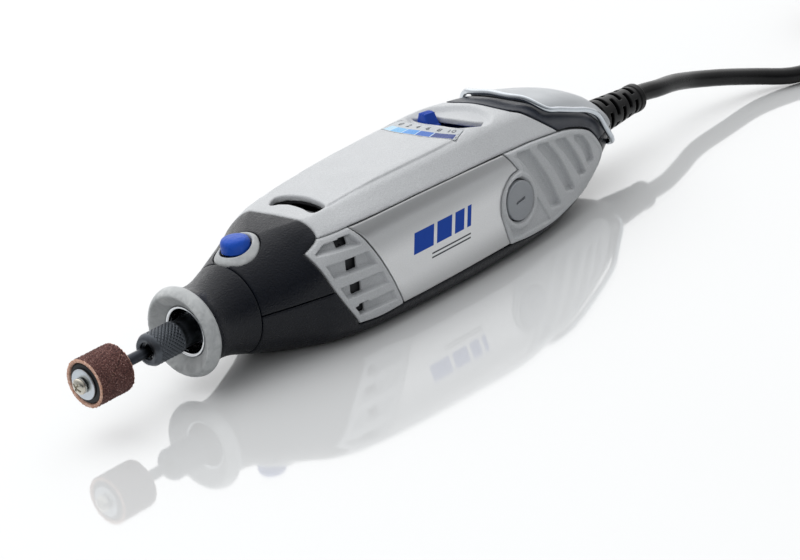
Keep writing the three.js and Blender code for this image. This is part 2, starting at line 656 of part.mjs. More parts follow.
// --- nose: cap, ring, bright insert
add(
  tool,
  "nose_cap",
  lathe([[8.6, 4.6], [12.35, 4.6], [11.3, 6.8], [11.15, 9.6], [11.9, 14.5], [13.4, 19.4], [9.4, 19.4], [8.6, 14], [8.6, 4.6]], 24),
  BLACK, 0.65, 0,
);
add(
  tool,
  "nose_ring",
  lathe([[10.9, 0.35], [11.5, 0], [RIM_R + 0.1, 0.25], [RING_R, 2.6], [12.5, 4.3], [8.6, 4.3], [8.6, 2.6], [10.9, 0.35]], 24),
  RIMGREY, 0.5, 0,
);
add(
  tool,
  "nose_insert",
  lathe([[6.3, 2.4], [7.2, 1.8], [8.3, 1.8], [8.3, 12], [7.4, 12], [6.3, 4.0], [6.3, 2.4]], 20),
  0xe2e5e8, 0.15, 1,
);

// --- spindle and motor, all on the axis
const collarHoles = [0, 90, 180, 270].map((a) => {
  const g = new THREE.CylinderGeometry(1.95, 1.95, 4, 8);
  g.rotateX(Math.PI / 2); // along Z
  g.translate(0, 0, 4.6);
  g.rotateX((a * Math.PI) / 180);
  g.translate(26.3, 0, 0);
  return solid(g);
});
add(
  drive,
  "spindle",
  cut(
    lathe([[2.5, 6.5], [3.4, 6.5], [3.4, 14], [3.9, 14], [3.9, 23.4], [5.3, 23.4], [5.3, 29.2], [3.9, 29.2], [3.9, 33], [2.9, 33], [2.9, 41.6], [0, 41.6], [0, 21], [1.95, 21], [1.95, 9], [2.5, 6.5]], 14),
    ...collarHoles,
  ),
  STEEL, 0.3, 1,
);
add(tool, "front_bearing", tubeRing(4.2, 8.0, 16.8, 22.4, 18), STEEL, 0.3, 1);
add(drive, "collet", cut(
  lathe([[1.9, NUT_X0 + 1.4], [2.6, NUT_X0 + 1.4], [3.3, NUT_X0 + 4.2], [3.0, NUT_X0 + 6], [2.2, NUT_X0 + 18.2], [1.9, NUT_X0 + 18.2], [1.9, NUT_X0 + 1.4]], 12),
  box(NUT_X0, NUT_X0 + 9, -0.3, 0.3, -5, 5),
  box(NUT_X0, NUT_X0 + 9, -5, 5, -0.3, 0.3),
), 0x8a8f94, 0.4, 1);
add(
  drive,
  "collet_nut",
  lathe([[2.5, NUT_X0], [3.9, NUT_X0], [NUT_R, NUT_X0 + 1.1], [NUT_R, NUT_X0 + 11], [4.3, NUT_X0 + 12], [4.2, NUT_X1 + 4.2], [3.75, NUT_X1 + 4.2], [3.75, NUT_X0 + 6.6], [3.7, NUT_X0 + 4.4], [2.5, NUT_X0]], 18),
  DARKSTEEL, 0.45, 0.8,
);
add(drive, "drive_coupling", lathe([[3.2, 36], [6.2, 36], [6.2, 46.5], [2.8, 46.5], [2.8, 42.2], [3.2, 42.2], [3.2, 36]], 16), 0x2b2b2d, 0.8, 0);
add(drive, "armature_shaft", lathe([[0, 42.2], [2.5, 42.2], [2.5, 138.6], [0, 138.6]], 14), STEEL, 0.3, 1);
// fan: back plate, hub and blades
{
  let fan = lathe([[2.8, 48.6], [5.0, 48.6], [5.0, 55.4], [13.4, 56.2], [13.4, 57.4], [2.8, 57.4], [2.8, 48.6]], 18);
  for (let i = 0; i < 7; i++) {
    const g = new THREE.BoxGeometry(6.6, 0.9, 8.8);
    g.translate(53.2, 0, 8.9);
    g.rotateX((2 * Math.PI * i) / 7);
    fan = union(fan, solid(g));
  }
  add(drive, "cooling_fan", fan, 0xe8e6df, 0.6, 0);
}
// armature core: laminated drum with slots
{
  let core = tubeRing(2.8, 9.6, 66, 98, 24);
  for (let i = 0; i < 8; i++) {
    const g = new THREE.BoxGeometry(40, 1.6, 4);
    g.translate(82, 0, 9.4);
    g.rotateX((2 * Math.PI * (i + 0.5)) / 8);
    core = cut(core, solid(g));
  }
  add(drive, "armature_core", core, 0x77797c, 0.5, 0.9);
}
add(drive, "armature_winding_front", lathe([[2.8, 60.4], [6.6, 60.4], [8.6, 62.6], [8.8, 65.7], [2.8, 65.7], [2.8, 60.4]], 14), COPPER, 0.4, 0.9);
add(drive, "armature_winding_rear", lathe([[2.8, 98.3], [8.8, 98.3], [8.6, 101.4], [6.2, 106], [2.8, 106], [2.8, 98.3]], 14), COPPER, 0.4, 0.9);
add(drive, "commutator", lathe([[2.8, 108], [8.2, 108], [8.2, 110.2], [7.1, 110.6], [7.1, 125.4], [2.8, 125.4], [2.8, 108]], 16), COPPER, 0.3, 1);
add(tool, "rear_bearing", tubeRing(2.8, 8.0, 132.2, 137.6, 18), STEEL, 0.3, 1);

// --- field: laminated frame and its two coils
{
  const frame = prismYZ(
    [[-15.5, -13.2], [15.5, -13.2], [19.4, -9.2], [19.4, 9.2], [15.5, 13.2], [-15.5, 13.2], [-19.4, 9.2], [-19.4, -9.2]],
    66, 98,
  );
  const bore = rod(10.3, 60, 104, 20);
  const pocketA = box(60, 104, 11.6, 16.2, -8.0, 8.0),
    pocketB = box(60, 104, -16.2, -11.6, -8.0, 8.0);
  add(tool, "field_core", cut(frame, bore, pocketA, pocketB), 0x6e7074, 0.5, 0.9);
  for (const [side, s] of SIDES) {
    const a = s * 11.9,
      b = s * 15.9;
    const y0 = Math.min(a, b),
      y1 = Math.max(a, b);
    add(
      tool,
      "field_coil_" + side,
      union(
        box(61.5, 103, y0, y1, -7.6, 7.6),
        box(61.5, 65.5, y0, y1, -9.8, 9.8),
        box(98.6, 103, y0, y1, -9.8, 9.8),
      ),
      COPPER, 0.4, 0.8,
    );
  }
}

// --- sanding drum
add(drive, "mandrel", lathe([[0, -35.5], [1.5, -35.5], [1.5, DRUM_X0 + 0.3], [SHANK_R, DRUM_X0 + 0.3], [SHANK_R, DRUM_X1 + 0.3], [2.5, DRUM_X1 + 0.3], [2.5, DRUM_X1 + 1.4], [SHANK_R, DRUM_X1 + 1.4], [SHANK_R, 13], [0, 13]], 12), 0x3c4046, 0.4, 1);
add(drive, "rubber_drum", lathe([[1.9, DRUM_X0 + 0.3], [5.6, DRUM_X0 + 0.3], [5.9, DRUM_X0 + 0.6], [5.9, DRUM_X1], [1.9, DRUM_X1], [1.9, DRUM_X0 + 0.3]], 20), 0x33383a, 0.85, 0);
add(drive, "sanding_band", tubeRing(BAND_IN, BAND_R, DRUM_X0, DRUM_X1, 24), 0x6e3c37, 0.95, 0);
add(drive, "drum_washer", tubeRing(1.8, 4.4, DRUM_X0 - 0.7, DRUM_X0, 16), 0xcdd7e1, 0.25, 1);
add(drive, "drum_screw", cut(
  lathe([[0, DRUM_X0 - 3.0], [1.5, DRUM_X0 - 2.9], [2.3, DRUM_X0 - 2.3], [2.4, DRUM_X0 - 1.0], [1.8, DRUM_X0 - 1.0], [1.8, DRUM_X0 - 1.3], [0, DRUM_X0 - 1.9]], 12),
  box(DRUM_X0 - 4, DRUM_X0 - 2.5, -3, 3, -0.35, 0.35),
), 0xd8cfa8, 0.3, 1);

// --- strain relief
add(
  lead,
  "strain_relief",
  lathe([[0, 174.5], [7.0, 174.5], [7.0, 177], [5.3, 177], [5.3, 190.4], [6.2, 190.6], [4.6, 211.4], [4.9, 211.8], [4.8, 214.2], [0, 214.2]], 14),
  0x1b1c1e, 0.6, 0,
);

// --- cord: free stretch, hank, tie, plug
const FLOOR = -AXIS_H;
const CORD_PATH = [
  [214.5, 0.3, 0.4], [219, 0.1, 0.3], [225.2, -0.7, -0.4], [236.8, 0.6, -2.1],
  [247.6, 1.5, -4.6], [262.8, -1.8, -8.0], [276.4, -6.1, -11.5],
  [287.6, -13.6, FLOOR + 3.3], [298.5, -18.6, FLOOR + 3.2], [311, -20.6, FLOOR + 3.2],
  [324, -21.0, FLOOR + 3.2], [336, -21.0, FLOOR + 3.2], [347.4, -21.0, FLOOR + 3.2],
];
add(lead, "power_cord", sweep(CORD_PATH, CORD_D / 2, 8, 32), 0x141416, 0.45, 0);
const stadium = (r) => {
  const out = [];
  for (let i = 0; i <= 10; i++) out.push([HANK_X + HANK_RUN + r * Math.sin((i * Math.PI) / 10), HANK_Y - r * Math.cos((i * Math.PI) / 10)]);
  for (let i = 0; i <= 10; i++) out.push([HANK_X - r * Math.sin((i * Math.PI) / 10), HANK_Y + r * Math.cos((i * Math.PI) / 10)]);
  return out;
};
// the end of the cord leaves the hank's near side and runs on to the plug
const TAIL = [
  [424, -27.0, FLOOR + 4.2], [433, -26.9, FLOOR + 4.1], [441, -26.0, FLOOR + 3.6], [450, -23.0, FLOOR + 3.9],
  [460, -18.4, FLOOR + 5.0], [470, -14.8, FLOOR + 6.3], [477, -13.7, FLOOR + 6.9], [482.7, -13.5, FLOOR + 7.0],
];
add(
  lead,
  "cord_coil",
  union(
    cut(prismXY(stadium(HANK_OUT), FLOOR + HANK_Z[0], FLOOR + HANK_Z[1]), prismXY(stadium(HANK_IN), FLOOR - 1, FLOOR + 30)),
    sweep(TAIL, CORD_D / 2, 8, 14),
  ),
  0x141416, 0.45, 0,
);
{
  // tie: a strap round the middle of the hank
  const y0 = HANK_Y - HANK_OUT,
    y1 = HANK_Y + HANK_OUT,
    top = FLOOR + HANK_Z[1];
  const strapOut = [[y0 - 1.2, FLOOR], [y1 + 1.2, FLOOR], [y1 + 1.2, top + 1.2], [y0 - 1.2, top + 1.2]],
    strapIn = [[y0 - 0.4, FLOOR + 0.8], [y1 + 0.4, FLOOR + 0.8], [y1 + 0.4, top + 0.4], [y0 - 0.4, top + 0.4]];
  add(lead, "cord_tie", cut(prismYZ(strapOut, 397, 407), prismYZ(strapIn, 396, 408)), 0x2a2a2c, 0.8, 0);
}
{
  // flat two-pin plug, its length along +X, lying on the same surface
  const plug = new THREE.Group();
  plug.position.set(483, -13.5, FLOOR + 7.0);
  lead.add(plug);
  const bodyOutline = [[12, -5], [17, -8.5], [24, -12.2], [40, -16.6], [46, -16.6], [46, 16.6], [40, 16.6], [24, 12.2], [17, 8.5], [12, 5]];
  add(plug, "plug_body", union(prismXY(bodyOutline, -6.9, 6.9), lathe([[0, 0], [4.3, 0], [5.0, 12.6], [0, 12.6]], 12)), 0x1b1c1e, 0.5, 0);
  for (const [side, s] of SIDES)
    add(plug, "plug_pin_" + side, lathe([[0, 46.3], [2.0, 46.3], [2.0, 64.4], [1.2, 65.3], [0, 65.3]], 12, M(1, 0, 0, 0, 0, 1, 0, s * 9.3, 0, 0, 1, 0, 0, 0, 0, 1).multiply(Y_TO_X)), 0xd0d2d4, 0.25, 1);
}

export default root;
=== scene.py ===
import math

import bpy
import numpy as np
from mathutils import Matrix, Vector


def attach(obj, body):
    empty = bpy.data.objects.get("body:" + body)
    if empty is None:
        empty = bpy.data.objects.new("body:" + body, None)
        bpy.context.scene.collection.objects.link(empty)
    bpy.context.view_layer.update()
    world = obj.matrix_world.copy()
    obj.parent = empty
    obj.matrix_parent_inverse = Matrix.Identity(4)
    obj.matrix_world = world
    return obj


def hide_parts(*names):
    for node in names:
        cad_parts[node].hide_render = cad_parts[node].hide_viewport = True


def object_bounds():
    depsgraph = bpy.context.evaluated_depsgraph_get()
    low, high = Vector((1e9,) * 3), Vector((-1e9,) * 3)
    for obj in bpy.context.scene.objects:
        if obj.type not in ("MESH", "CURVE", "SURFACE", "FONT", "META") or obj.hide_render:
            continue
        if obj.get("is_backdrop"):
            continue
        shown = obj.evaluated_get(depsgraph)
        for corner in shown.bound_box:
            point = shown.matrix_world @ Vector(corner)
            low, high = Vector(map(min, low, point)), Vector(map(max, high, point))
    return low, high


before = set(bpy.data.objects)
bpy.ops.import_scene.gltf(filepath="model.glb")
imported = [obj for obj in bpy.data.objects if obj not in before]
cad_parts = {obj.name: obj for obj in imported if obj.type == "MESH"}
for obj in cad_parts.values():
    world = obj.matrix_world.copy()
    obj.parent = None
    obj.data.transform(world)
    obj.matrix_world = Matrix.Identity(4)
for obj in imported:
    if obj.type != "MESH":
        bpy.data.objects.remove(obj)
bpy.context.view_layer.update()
scene = bpy.context.scene

# Lengths below are in millimetres in the tool's frame: x runs back from the nose ring's front rim, z up from the spindle axis.
OX, H = 90.0, 17.25
MM = 0.001


def W(p):
    p = np.asarray(p, float)
    return np.stack([(p[..., 0] - OX) * MM, p[..., 1] * MM, (p[..., 2] + H) * MM], -1)


# ------------------------------------------------------------------ camera
cam = bpy.data.objects.new("camera", bpy.data.cameras.new("camera"))
scene.collection.objects.link(cam)
cam.data.sensor_width, cam.data.sensor_fit, cam.data.lens = 36.0, "HORIZONTAL", 105.08
cam.data.clip_start, cam.data.clip_end = 0.01, 50
CAM_ROWS = Matrix(
    (
        (0.65130191, -0.74766661, -0.12961655),
        (0.35649634, 0.15069832, 0.92206311),
        (-0.6698628, -0.64674929, 0.36469052),
    )
)
at = CAM_ROWS.transposed().to_4x4()
at.translation = (-0.472715, -0.456115, 0.256222)
cam.matrix_world = at
scene.camera = cam


# ------------------------------------------------------------------ materials
class Nodes:
    def __init__(self, name):
        self.mat = bpy.data.materials.new(name)
        self.mat.use_nodes = True
        self.t = self.mat.node_tree
        self.p = next(n for n in self.t.nodes if n.type == "BSDF_PRINCIPLED")
        self.obj = self.t.nodes.new("ShaderNodeTexCoord").outputs["Object"]

    def new(self, kind, **kw):
        n = self.t.nodes.new(kind)
        for k, v in kw.items():
            setattr(n, k, v)
        return n

    def link(self, a, b):
        self.t.links.new(a, b)

    def set(self, **kw):
        for k, v in kw.items():
            self.p.inputs[k.replace("_", " ")].default_value = v
        return self

    def math(self, op, a, b=None, c=None, clamp=False):
        n = self.new("ShaderNodeMath", operation=op, use_clamp=clamp)
        for i, v in enumerate((a, b, c)):
            if v is None:
                continue
            if isinstance(v, (int, float)):
                n.inputs[i].default_value = v
            else:
                self.link(v, n.inputs[i])
        return n.outputs[0]

    def noise(self, scale, detail=3.0, rough=0.55, vec=None, stretch=None, dist=0.0):
        n = self.new("ShaderNodeTexNoise")
        n.inputs["Scale"].default_value = scale
        n.inputs["Detail"].default_value = detail
        n.inputs["Roughness"].default_value = rough
        n.inputs["Distortion"].default_value = dist
        v = vec or self.obj
        if stretch:
            m = self.new("ShaderNodeMapping")
            m.inputs["Scale"].default_value = stretch
            self.link(v, m.inputs["Vector"])
            v = m.outputs[0]
        self.link(v, n.inputs["Vector"])
        return n.outputs["Fac"]

    def voronoi(self, scale, feature="F1", rand=1.0, out="Distance"):
        n = self.new("ShaderNodeTexVoronoi", feature=feature)
        n.inputs["Scale"].default_value = scale
        n.inputs["Randomness"].default_value = rand
        self.link(self.obj, n.inputs["Vector"])
        return n.outputs[out]

    def ramp(self, fac, stops, interp="LINEAR"):
        n = self.new("ShaderNodeValToRGB")
        n.color_ramp.interpolation = interp
        while len(n.color_ramp.elements) < len(stops):
            n.color_ramp.elements.new(0.5)
        for e, (pos, col) in zip(n.color_ramp.elements, stops):
            e.position = pos
            e.color = (*col, 1) if len(col) == 3 else col
        self.link(fac, n.inputs["Fac"])
        return n.outputs["Color"]

    def mix(self, fac, a, b):
        n = self.new("ShaderNodeMix", data_type="RGBA")
        for sock, v in ((n.inputs[0], fac), (n.inputs[6], a), (n.inputs[7], b)):
            if isinstance(v, (int, float)):
                sock.default_value = v
            elif isinstance(v, tuple):
                sock.default_value = (*v, 1) if len(v) == 3 else v
            else:
                self.link(v, sock)
        return n.outputs[2]

    def map(self, fac, lo, hi, a=0.0, b=1.0):
        n = self.new("ShaderNodeMapRange")
        for k, v in zip(("From Min", "From Max", "To Min", "To Max"), (a, b, lo, hi)):
            n.inputs[k].default_value = v
        self.link(fac, n.inputs["Value"])
        return n.outputs[0]

    def bump(self, *heights):
        # heights: (socket, distance in metres, strength)
        prev = None
        for h, dist, strength in heights:
            b = self.new("ShaderNodeBump")
            b.inputs["Distance"].default_value = dist
            b.inputs["Strength"].default_value = strength
            self.link(h, b.inputs["Height"])
            if prev is not None:
                self.link(prev, b.inputs["Normal"])
            prev = b.outputs[0]
        self.link(prev, self.p.inputs["Normal"])
        return self

    def color(self, out):
        self.link(out, self.p.inputs["Base Color"])
        return self

    def rough(self, out):
        self.link(out, self.p.inputs["Roughness"])
        return self

    def xyz(self):
        s = self.new("ShaderNodeSeparateXYZ")
        self.link(self.obj, s.inputs[0])
        return s.outputs


def shade(c, k):
    return tuple(min(1.0, x * k) for x in c)


def moulded(name, c, rough, grain=1700.0, depth=0.00004, strength=0.5, tone=0.06, spec=0.5, fleck=0.0):
    """Moulded plastic: fine spark-eroded texture, a faint drift of tone and of gloss."""
    m = Nodes(name)
    m.set(Specular_IOR_Level=spec)
    drift = m.noise(55, 2)
    fine = m.noise(grain, 3, 0.6)
    base = m.ramp(drift, [(0.3, shade(c, 1 - tone)), (0.7, shade(c, 1 + tone))])
    if fleck:
        base = m.mix(m.map(m.noise(grain * 2.2, 1), 0.0, fleck, 0.35, 0.7), base, shade(c, 1.5))
    m.color(base)
    m.rough(m.map(m.noise(160, 3), rough - 0.05, rough + 0.05, 0.3, 0.7))
    m.bump((fine, depth, strength))
    return m


def leather(name, c, rough):
    """Soft black plastic with a fine pebbled grain."""
    m = Nodes(name)
    m.set(Specular_IOR_Level=0.30)
    cell = m.voronoi(2100, "SMOOTH_F1")
    m.color(m.ramp(m.noise(900, 3), [(0.3, shade(c, 0.85)), (0.7, shade(c, 1.2))]))
    m.rough(m.map(m.noise(700, 3), rough - 0.07, rough + 0.08, 0.3, 0.7))
    m.bump((cell, 0.00011, 0.8), (m.noise(3200, 2), 0.00005, 0.5))
    return m


def metal(name, c, rough, scratch=(1, 1, 1), depth=0.00001, tone=0.08, aniso=0.0):
    m = Nodes(name)
    m.set(Metallic=1.0, Anisotropic=aniso)
    n = m.noise(900, 4, 0.6, stretch=scratch)
    m.color(m.ramp(n, [(0.25, shade(c, 1 - tone)), (0.75, shade(c, 1 + tone))]))
    m.rough(m.map(n, max(0.02, rough - 0.05), rough + 0.06, 0.25, 0.75))
    m.bump((n, depth, 0.5))
    return m


GREY = (0.435, 0.447, 0.46)
M = {}
M["grey"] = moulded("plastic_grey", GREY, 0.42, 1500, 0.00014, 0.9, 0.03, 0.45, 0.42).mat
M["grey_grip"] = moulded("plastic_grip_grey", (0.44, 0.452, 0.464), 0.45, 1500, 0.00014, 0.9, 0.04, 0.4, 0.4).mat
M["cap_grey"] = moulded("plastic_tail_grey", (0.40, 0.42, 0.44), 0.40, 2300, 0.00003, 0.4, 0.04, 0.5, 0.2).mat
M["black"] = leather("plastic_black_grain", (0.0026, 0.0038, 0.0075), 0.31).mat
M["slate"] = moulded("plastic_slate", (0.017, 0.021, 0.032), 0.34, 1900, 0.00003, 0.35, 0.08, 0.32).mat
M["inner"] = moulded("plastic_inner", (0.02, 0.021, 0.024), 0.6, 1500, 0.00004, 0.4, 0.1).mat
M["blue"] = moulded("plastic_blue", (0.008, 0.070, 0.43), 0.42, 800, 0.00028, 1.0, 0.16, 0.3).mat
M["blue_deep"] = moulded("plastic_blue_deep", (0.008, 0.052, 0.36), 0.40, 1500, 0.00006, 0.5, 0.12, 0.3).mat
M["rubber"] = moulded("rubber_black", (0.018, 0.019, 0.021), 0.55, 1300, 0.00005, 0.5, 0.15, 0.4).mat
M["relief"] = moulded("rubber_relief", (0.0026, 0.0026, 0.0030), 0.30, 1500, 0.00003, 0.4, 0.15, 0.20).mat
M["nylon"] = moulded("nylon_natural", (0.62, 0.60, 0.54), 0.45, 1300, 0.00003, 0.3, 0.04).mat
M["carbon"] = moulded("carbon_pressed", (0.03, 0.03, 0.031), 0.62, 2600, 0.00004, 0.6, 0.2, 0.6).mat
M["steel"] = metal("steel_ground", (0.50, 0.505, 0.515), 0.26, (0.15, 1, 1)).mat
M["wire"] = metal("steel_wire_plated", (0.62, 0.66, 0.70), 0.11, (1, 1, 1), 0.000004, 0.05).mat
M["chrome"] = metal("chrome_bright", (0.80, 0.82, 0.84), 0.07, (1, 1, 1), 0.000004, 0.03).mat
M["brass"] = metal("brass_drawn", (0.62, 0.46, 0.18), 0.3, (0.2, 1, 1)).mat
M["lams"] = metal("steel_laminations", (0.20, 0.20, 0.21), 0.45, (6, 0.05, 0.05), 0.00004, 0.35).mat
M["copper"] = metal("copper_varnished", (0.55, 0.24, 0.10), 0.35, (5, 0.3, 0.3), 0.00006, 0.3).mat
M["segments"] = metal("copper_segments", (0.60, 0.32, 0.16), 0.28, (0.1, 2, 2), 0.00001, 0.12).mat
M["nut"] = metal("steel_black_oxide", (0.105, 0.115, 0.13), 0.34, (1, 1, 1), 0.00001, 0.18).mat
M["washer"] = metal("zinc_washer", (0.66, 0.71, 0.76), 0.33, (1, 1, 1), 0.00001, 0.05).mat
M["screw_tip"] = metal("nickel_screw", (0.66, 0.63, 0.55), 0.2, (1, 1, 1), 0.00001, 0.1).mat
M["shank"] = metal("steel_shank", (0.045, 0.05, 0.06), 0.3, (0.2, 1, 1), 0.00001, 0.2).mat


def make_marbled():
    m = Nodes("plastic_ring_marbled")
    n1 = m.noise(210, 5, 0.62, dist=0.9)
    n2 = m.noise(1400, 2)
    base = m.ramp(n1, [(0.30, (0.30, 0.31, 0.315)), (0.5, (0.40, 0.415, 0.42)), (0.72, (0.50, 0.515, 0.515))])
    m.color(base)
    m.rough(m.map(n1, 0.34, 0.46, 0.3, 0.7))
    m.bump((n2, 0.00004, 0.4), (n1, 0.0001, 0.25))
    return m.mat


M["ring"] = make_marbled()


def make_panel():
    """Silver lacquer over a moulded panel with painted highlight and shade: lighter across the middle height, darker
    towards the top and bottom edges. A plain three-bar stripe and a thin rule are printed on it.
    """
    m = Nodes("panel_silver_lacquer")
    m.set(Metallic=0.72, Specular_IOR_Level=0.5, Coat_Weight=0.0)
    x, y, z = m.xyz()
    flake = m.noise(6500, 1)
    base = m.ramp(flake, [(0.3, (0.74, 0.745, 0.75)), (0.7, (0.82, 0.825, 0.83))])
    # painted highlight and shade: the base colour is lightened across the middle height and darkened towards the top
    # and bottom, with the band leaning slightly along the length
    painted_light_band = m.ramp(
        m.map(m.math("SUBTRACT", z, m.math("MULTIPLY", x, 0.04)), 0, 1, (H - 12.0) * MM, (H + 16.0) * MM),
        [(0.0, (0.62, 0.62, 0.62)), (0.30, (1.0, 1.0, 1.0)), (0.52, (1.0, 1.0, 1.0)), (0.80, (0.66, 0.665, 0.67)), (1.0, (0.50, 0.505, 0.51))],
        "EASE",
    )
    # multiplies the painted highlight and shade into the lacquer colour
    painted_light_mix = m.new("ShaderNodeMix", data_type="RGBA", blend_type="MULTIPLY")
    painted_light_mix.inputs[0].default_value = 1.0
    m.link(base, painted_light_mix.inputs[6])
    m.link(painted_light_band, painted_light_mix.inputs[7])
    base = painted_light_mix.outputs[2]

    def inside(v, lo, hi, soft=0.00006):
        a = m.map(v, 0, 1, lo - soft, lo + soft)
        b = m.map(v, 1, 0, hi - soft, hi + soft)
        return m.math("MULTIPLY", a, b)

    # slanted coordinate: bars lean back with height
    zz = m.math("SUBTRACT", z, H * MM)
    s = m.math("SUBTRACT", x, m.math("MULTIPLY", zz, 0.32))
    total = None
    for x0, x1 in ((72.0, 80.6), (82.0, 88.6), (90.0, 94.2), (95.6, 97.4)):
        band = inside(s, (x0 - OX) * MM, (x1 - OX) * MM)
        total = band if total is None else m.math("MAXIMUM", total, band)
    bars = m.math("MULTIPLY", total, inside(zz, 0.0002, 0.0062))
    rule = m.math("MULTIPLY", inside(s, (80.0 - OX) * MM, (97.4 - OX) * MM), inside(zz, -0.0022, -0.00175, 0.00004))
    rule2 = m.math("MULTIPLY", inside(s, (80.0 - OX) * MM, (97.4 - OX) * MM), inside(zz, -0.00335, -0.0029, 0.00004))
    col = m.mix(bars, base, (0.006, 0.055, 0.36))
    col = m.mix(m.math("MAXIMUM", rule, rule2), col, (0.05, 0.055, 0.065))
    m.color(col)
    m.rough(m.map(m.noise(420, 3), 0.30, 0.34, 0.3, 0.7))
    m.bump((flake, 0.000004, 0.2), (bars, 0.00002, 0.3))
    return m.mat


M["panel"] = make_panel()


def make_scale():
    """Print under a clear film: a stepped blue band, light at the off end."""
    m = Nodes("scale_print")
    m.set(Specular_IOR_Level=0.2)
    x, y, z = m.xyz()
    dx = m.math("SUBTRACT", (147 - OX) * MM, x)
    r = m.math("SQRT", m.math("ADD", m.math("MULTIPLY", dx, dx), m.math("MULTIPLY", y, y)))
    th = m.math("ARCTAN2", y, dx)
    f = m.map(th, 1, 0, math.radians(-19.0), math.radians(17.5))
    seg = m.ramp(
        f,
        [(0.0, (0.36, 0.56, 0.70)), (0.12, (0.12, 0.38, 0.66)), (0.32, (0.045, 0.24, 0.60)), (0.52, (0.012, 0.10, 0.42)), (0.72, (0.003, 0.026, 0.18))],
        "CONSTANT",
    )
    comb = m.math("FRACT", m.math("MULTIPLY", f, 5.0))
    rule = m.math("GREATER_THAN", m.math("ABSOLUTE", m.math("SUBTRACT", comb, 0.6)), 0.03)
    rule = m.math("MAXIMUM", rule, m.math("GREATER_THAN", f, 0.85))
    seg = m.mix(rule, (0.50, 0.62, 0.72), seg)
    band = m.math("MULTIPLY", m.math("GREATER_THAN", r, 0.0404), m.math("LESS_THAN", r, 0.0437))
    band = m.math("MULTIPLY", band, m.math("LESS_THAN", m.math("ABSOLUTE", m.math("ADD", th, 0.012)), math.radians(18.2)))
    base = m.ramp(m.noise(900, 2), [(0.3, (0.40, 0.42, 0.44)), (0.7, (0.44, 0.46, 0.48))])
    m.color(m.mix(band, base, seg))
    m.rough(m.map(m.noise(500, 2), 0.22, 0.30, 0.3, 0.7))
    m.bump((m.noise(1200, 2), 0.00001, 0.3))
    return m.mat


M["scale"] = make_scale()


def make_ink():
    m = Nodes("print_dark")
    m.color(m.ramp(m.noise(1500, 2), [(0.3, (0.02, 0.025, 0.035)), (0.7, (0.035, 0.04, 0.055))]))
    m.rough(m.map(m.noise(900, 2), 0.35, 0.45, 0.3, 0.7))
    return m.mat


M["ink"] = make_ink()


def make_cord():
    m = Nodes("cord_sheath")
    m.set(Specular_IOR_Level=0.33)
    n = m.noise(260, 4, 0.6)
    m.color(m.ramp(n, [(0.3, (0.0022, 0.0022, 0.0024)), (0.7, (0.0038, 0.0038, 0.0041))]))
    m.rough(m.map(n, 0.20, 0.30, 0.3, 0.7))
    m.bump((m.noise(1800, 2), 0.00002, 0.4), (n, 0.00004, 0.12))
    return m.mat


M["cord"] = make_cord()


def make_grit():
    """Abrasive paper: dark brown grains, the bare paper edge at the ends, and the slanted seam."""
    m = Nodes("abrasive_band")
    m.set(Specular_IOR_Level=0.35)
    x, y, z = m.xyz()
    g1 = m.noise(2300, 3, 0.75)
    g2 = m.voronoi(2600)
    grain = m.ramp(g1, [(0.34, (0.022, 0.009, 0.009)), (0.47, (0.085, 0.034, 0.030)), (0.58, (0.155, 0.068, 0.058)), (0.70, (0.42, 0.29, 0.26))])
    xx = m.math("ADD", x, OX * MM)
    a = m.math("ARCTAN2", m.math("SUBTRACT", z, H * MM), y)
    # seam: one slanted line across the width
    sl = m.math("SUBTRACT", m.math("ADD", a, m.math("MULTIPLY", m.math("ADD", xx, 0.0285), 95.0)), 2.75)
    seam = m.math("LESS_THAN", m.math("ABSOLUTE", m.math("ADD", sl, m.map(m.noise(700, 2), -0.03, 0.03))), 0.028)
    edge = m.math("GREATER_THAN", m.math("ABSOLUTE", m.math("ADD", xx, m.map(m.noise(900, 2), 0.02842, 0.02868))), 0.00562)
    rr = m.math("SQRT", m.math("ADD", m.math("MULTIPLY", y, y), m.math("POWER", m.math("SUBTRACT", z, H * MM), 2.0)))
    inner = m.math("LESS_THAN", rr, 0.00672)
    paper = m.ramp(m.noise(1400, 3), [(0.3, (0.42, 0.20, 0.13)), (0.7, (0.72, 0.50, 0.40))])
    col = m.mix(m.math("MULTIPLY", seam, 0.75), grain, (0.035, 0.015, 0.013))
    col = m.mix(m.math("MAXIMUM", edge, inner), col, paper)
    m.color(col)
    m.rough(m.map(g1, 0.62, 0.9, 0.3, 0.7))
    m.bump((g1, 0.00022, 0.8), (g2, 0.00012, 0.6))
    return m.mat


M["grit"] = make_grit()


# ------------------------------------------------------------------ meshes
def mesh_obj(name, verts, faces, mat, body, repl=(), smooth=True):
    """verts in the tool's millimetres, faces an (n, 4) or (n, 3) array or a list of such arrays."""
    groups = [np.asarray(f, np.int32) for f in (faces if isinstance(faces, list) else [faces]) if len(f)]
    me = bpy.data.meshes.new(name)
    v = W(verts)
    me.vertices.add(len(v))
    me.vertices.foreach_set("co", v.astype(np.float32).ravel())
    loops = np.concatenate([g.ravel() for g in groups])
    sizes = np.concatenate([np.full(len(g), g.shape[1], np.int32) for g in groups])
    me.loops.add(len(loops))
    me.loops.foreach_set("vertex_index", loops)
    me.polygons.add(len(sizes))
    me.polygons.foreach_set("loop_start", np.concatenate([[0], np.cumsum(sizes)[:-1]]).astype(np.int32))
    me.update(calc_edges=True)
    me.validate()
    me.shade_smooth() if smooth else me.shade_flat()
    me.materials.append(M[mat] if isinstance(mat, str) else mat)
    ob = bpy.data.objects.new(name, me)
    scene.collection.objects.link(ob)
    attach(ob, body)
    if repl:
        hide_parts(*repl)
    return ob


def rI(a, b, r):
    u, v = np.maximum(a + r, 0), np.maximum(b + r, 0)
    return np.minimum(-r, np.maximum(a, b)) + np.sqrt(u * u + v * v)


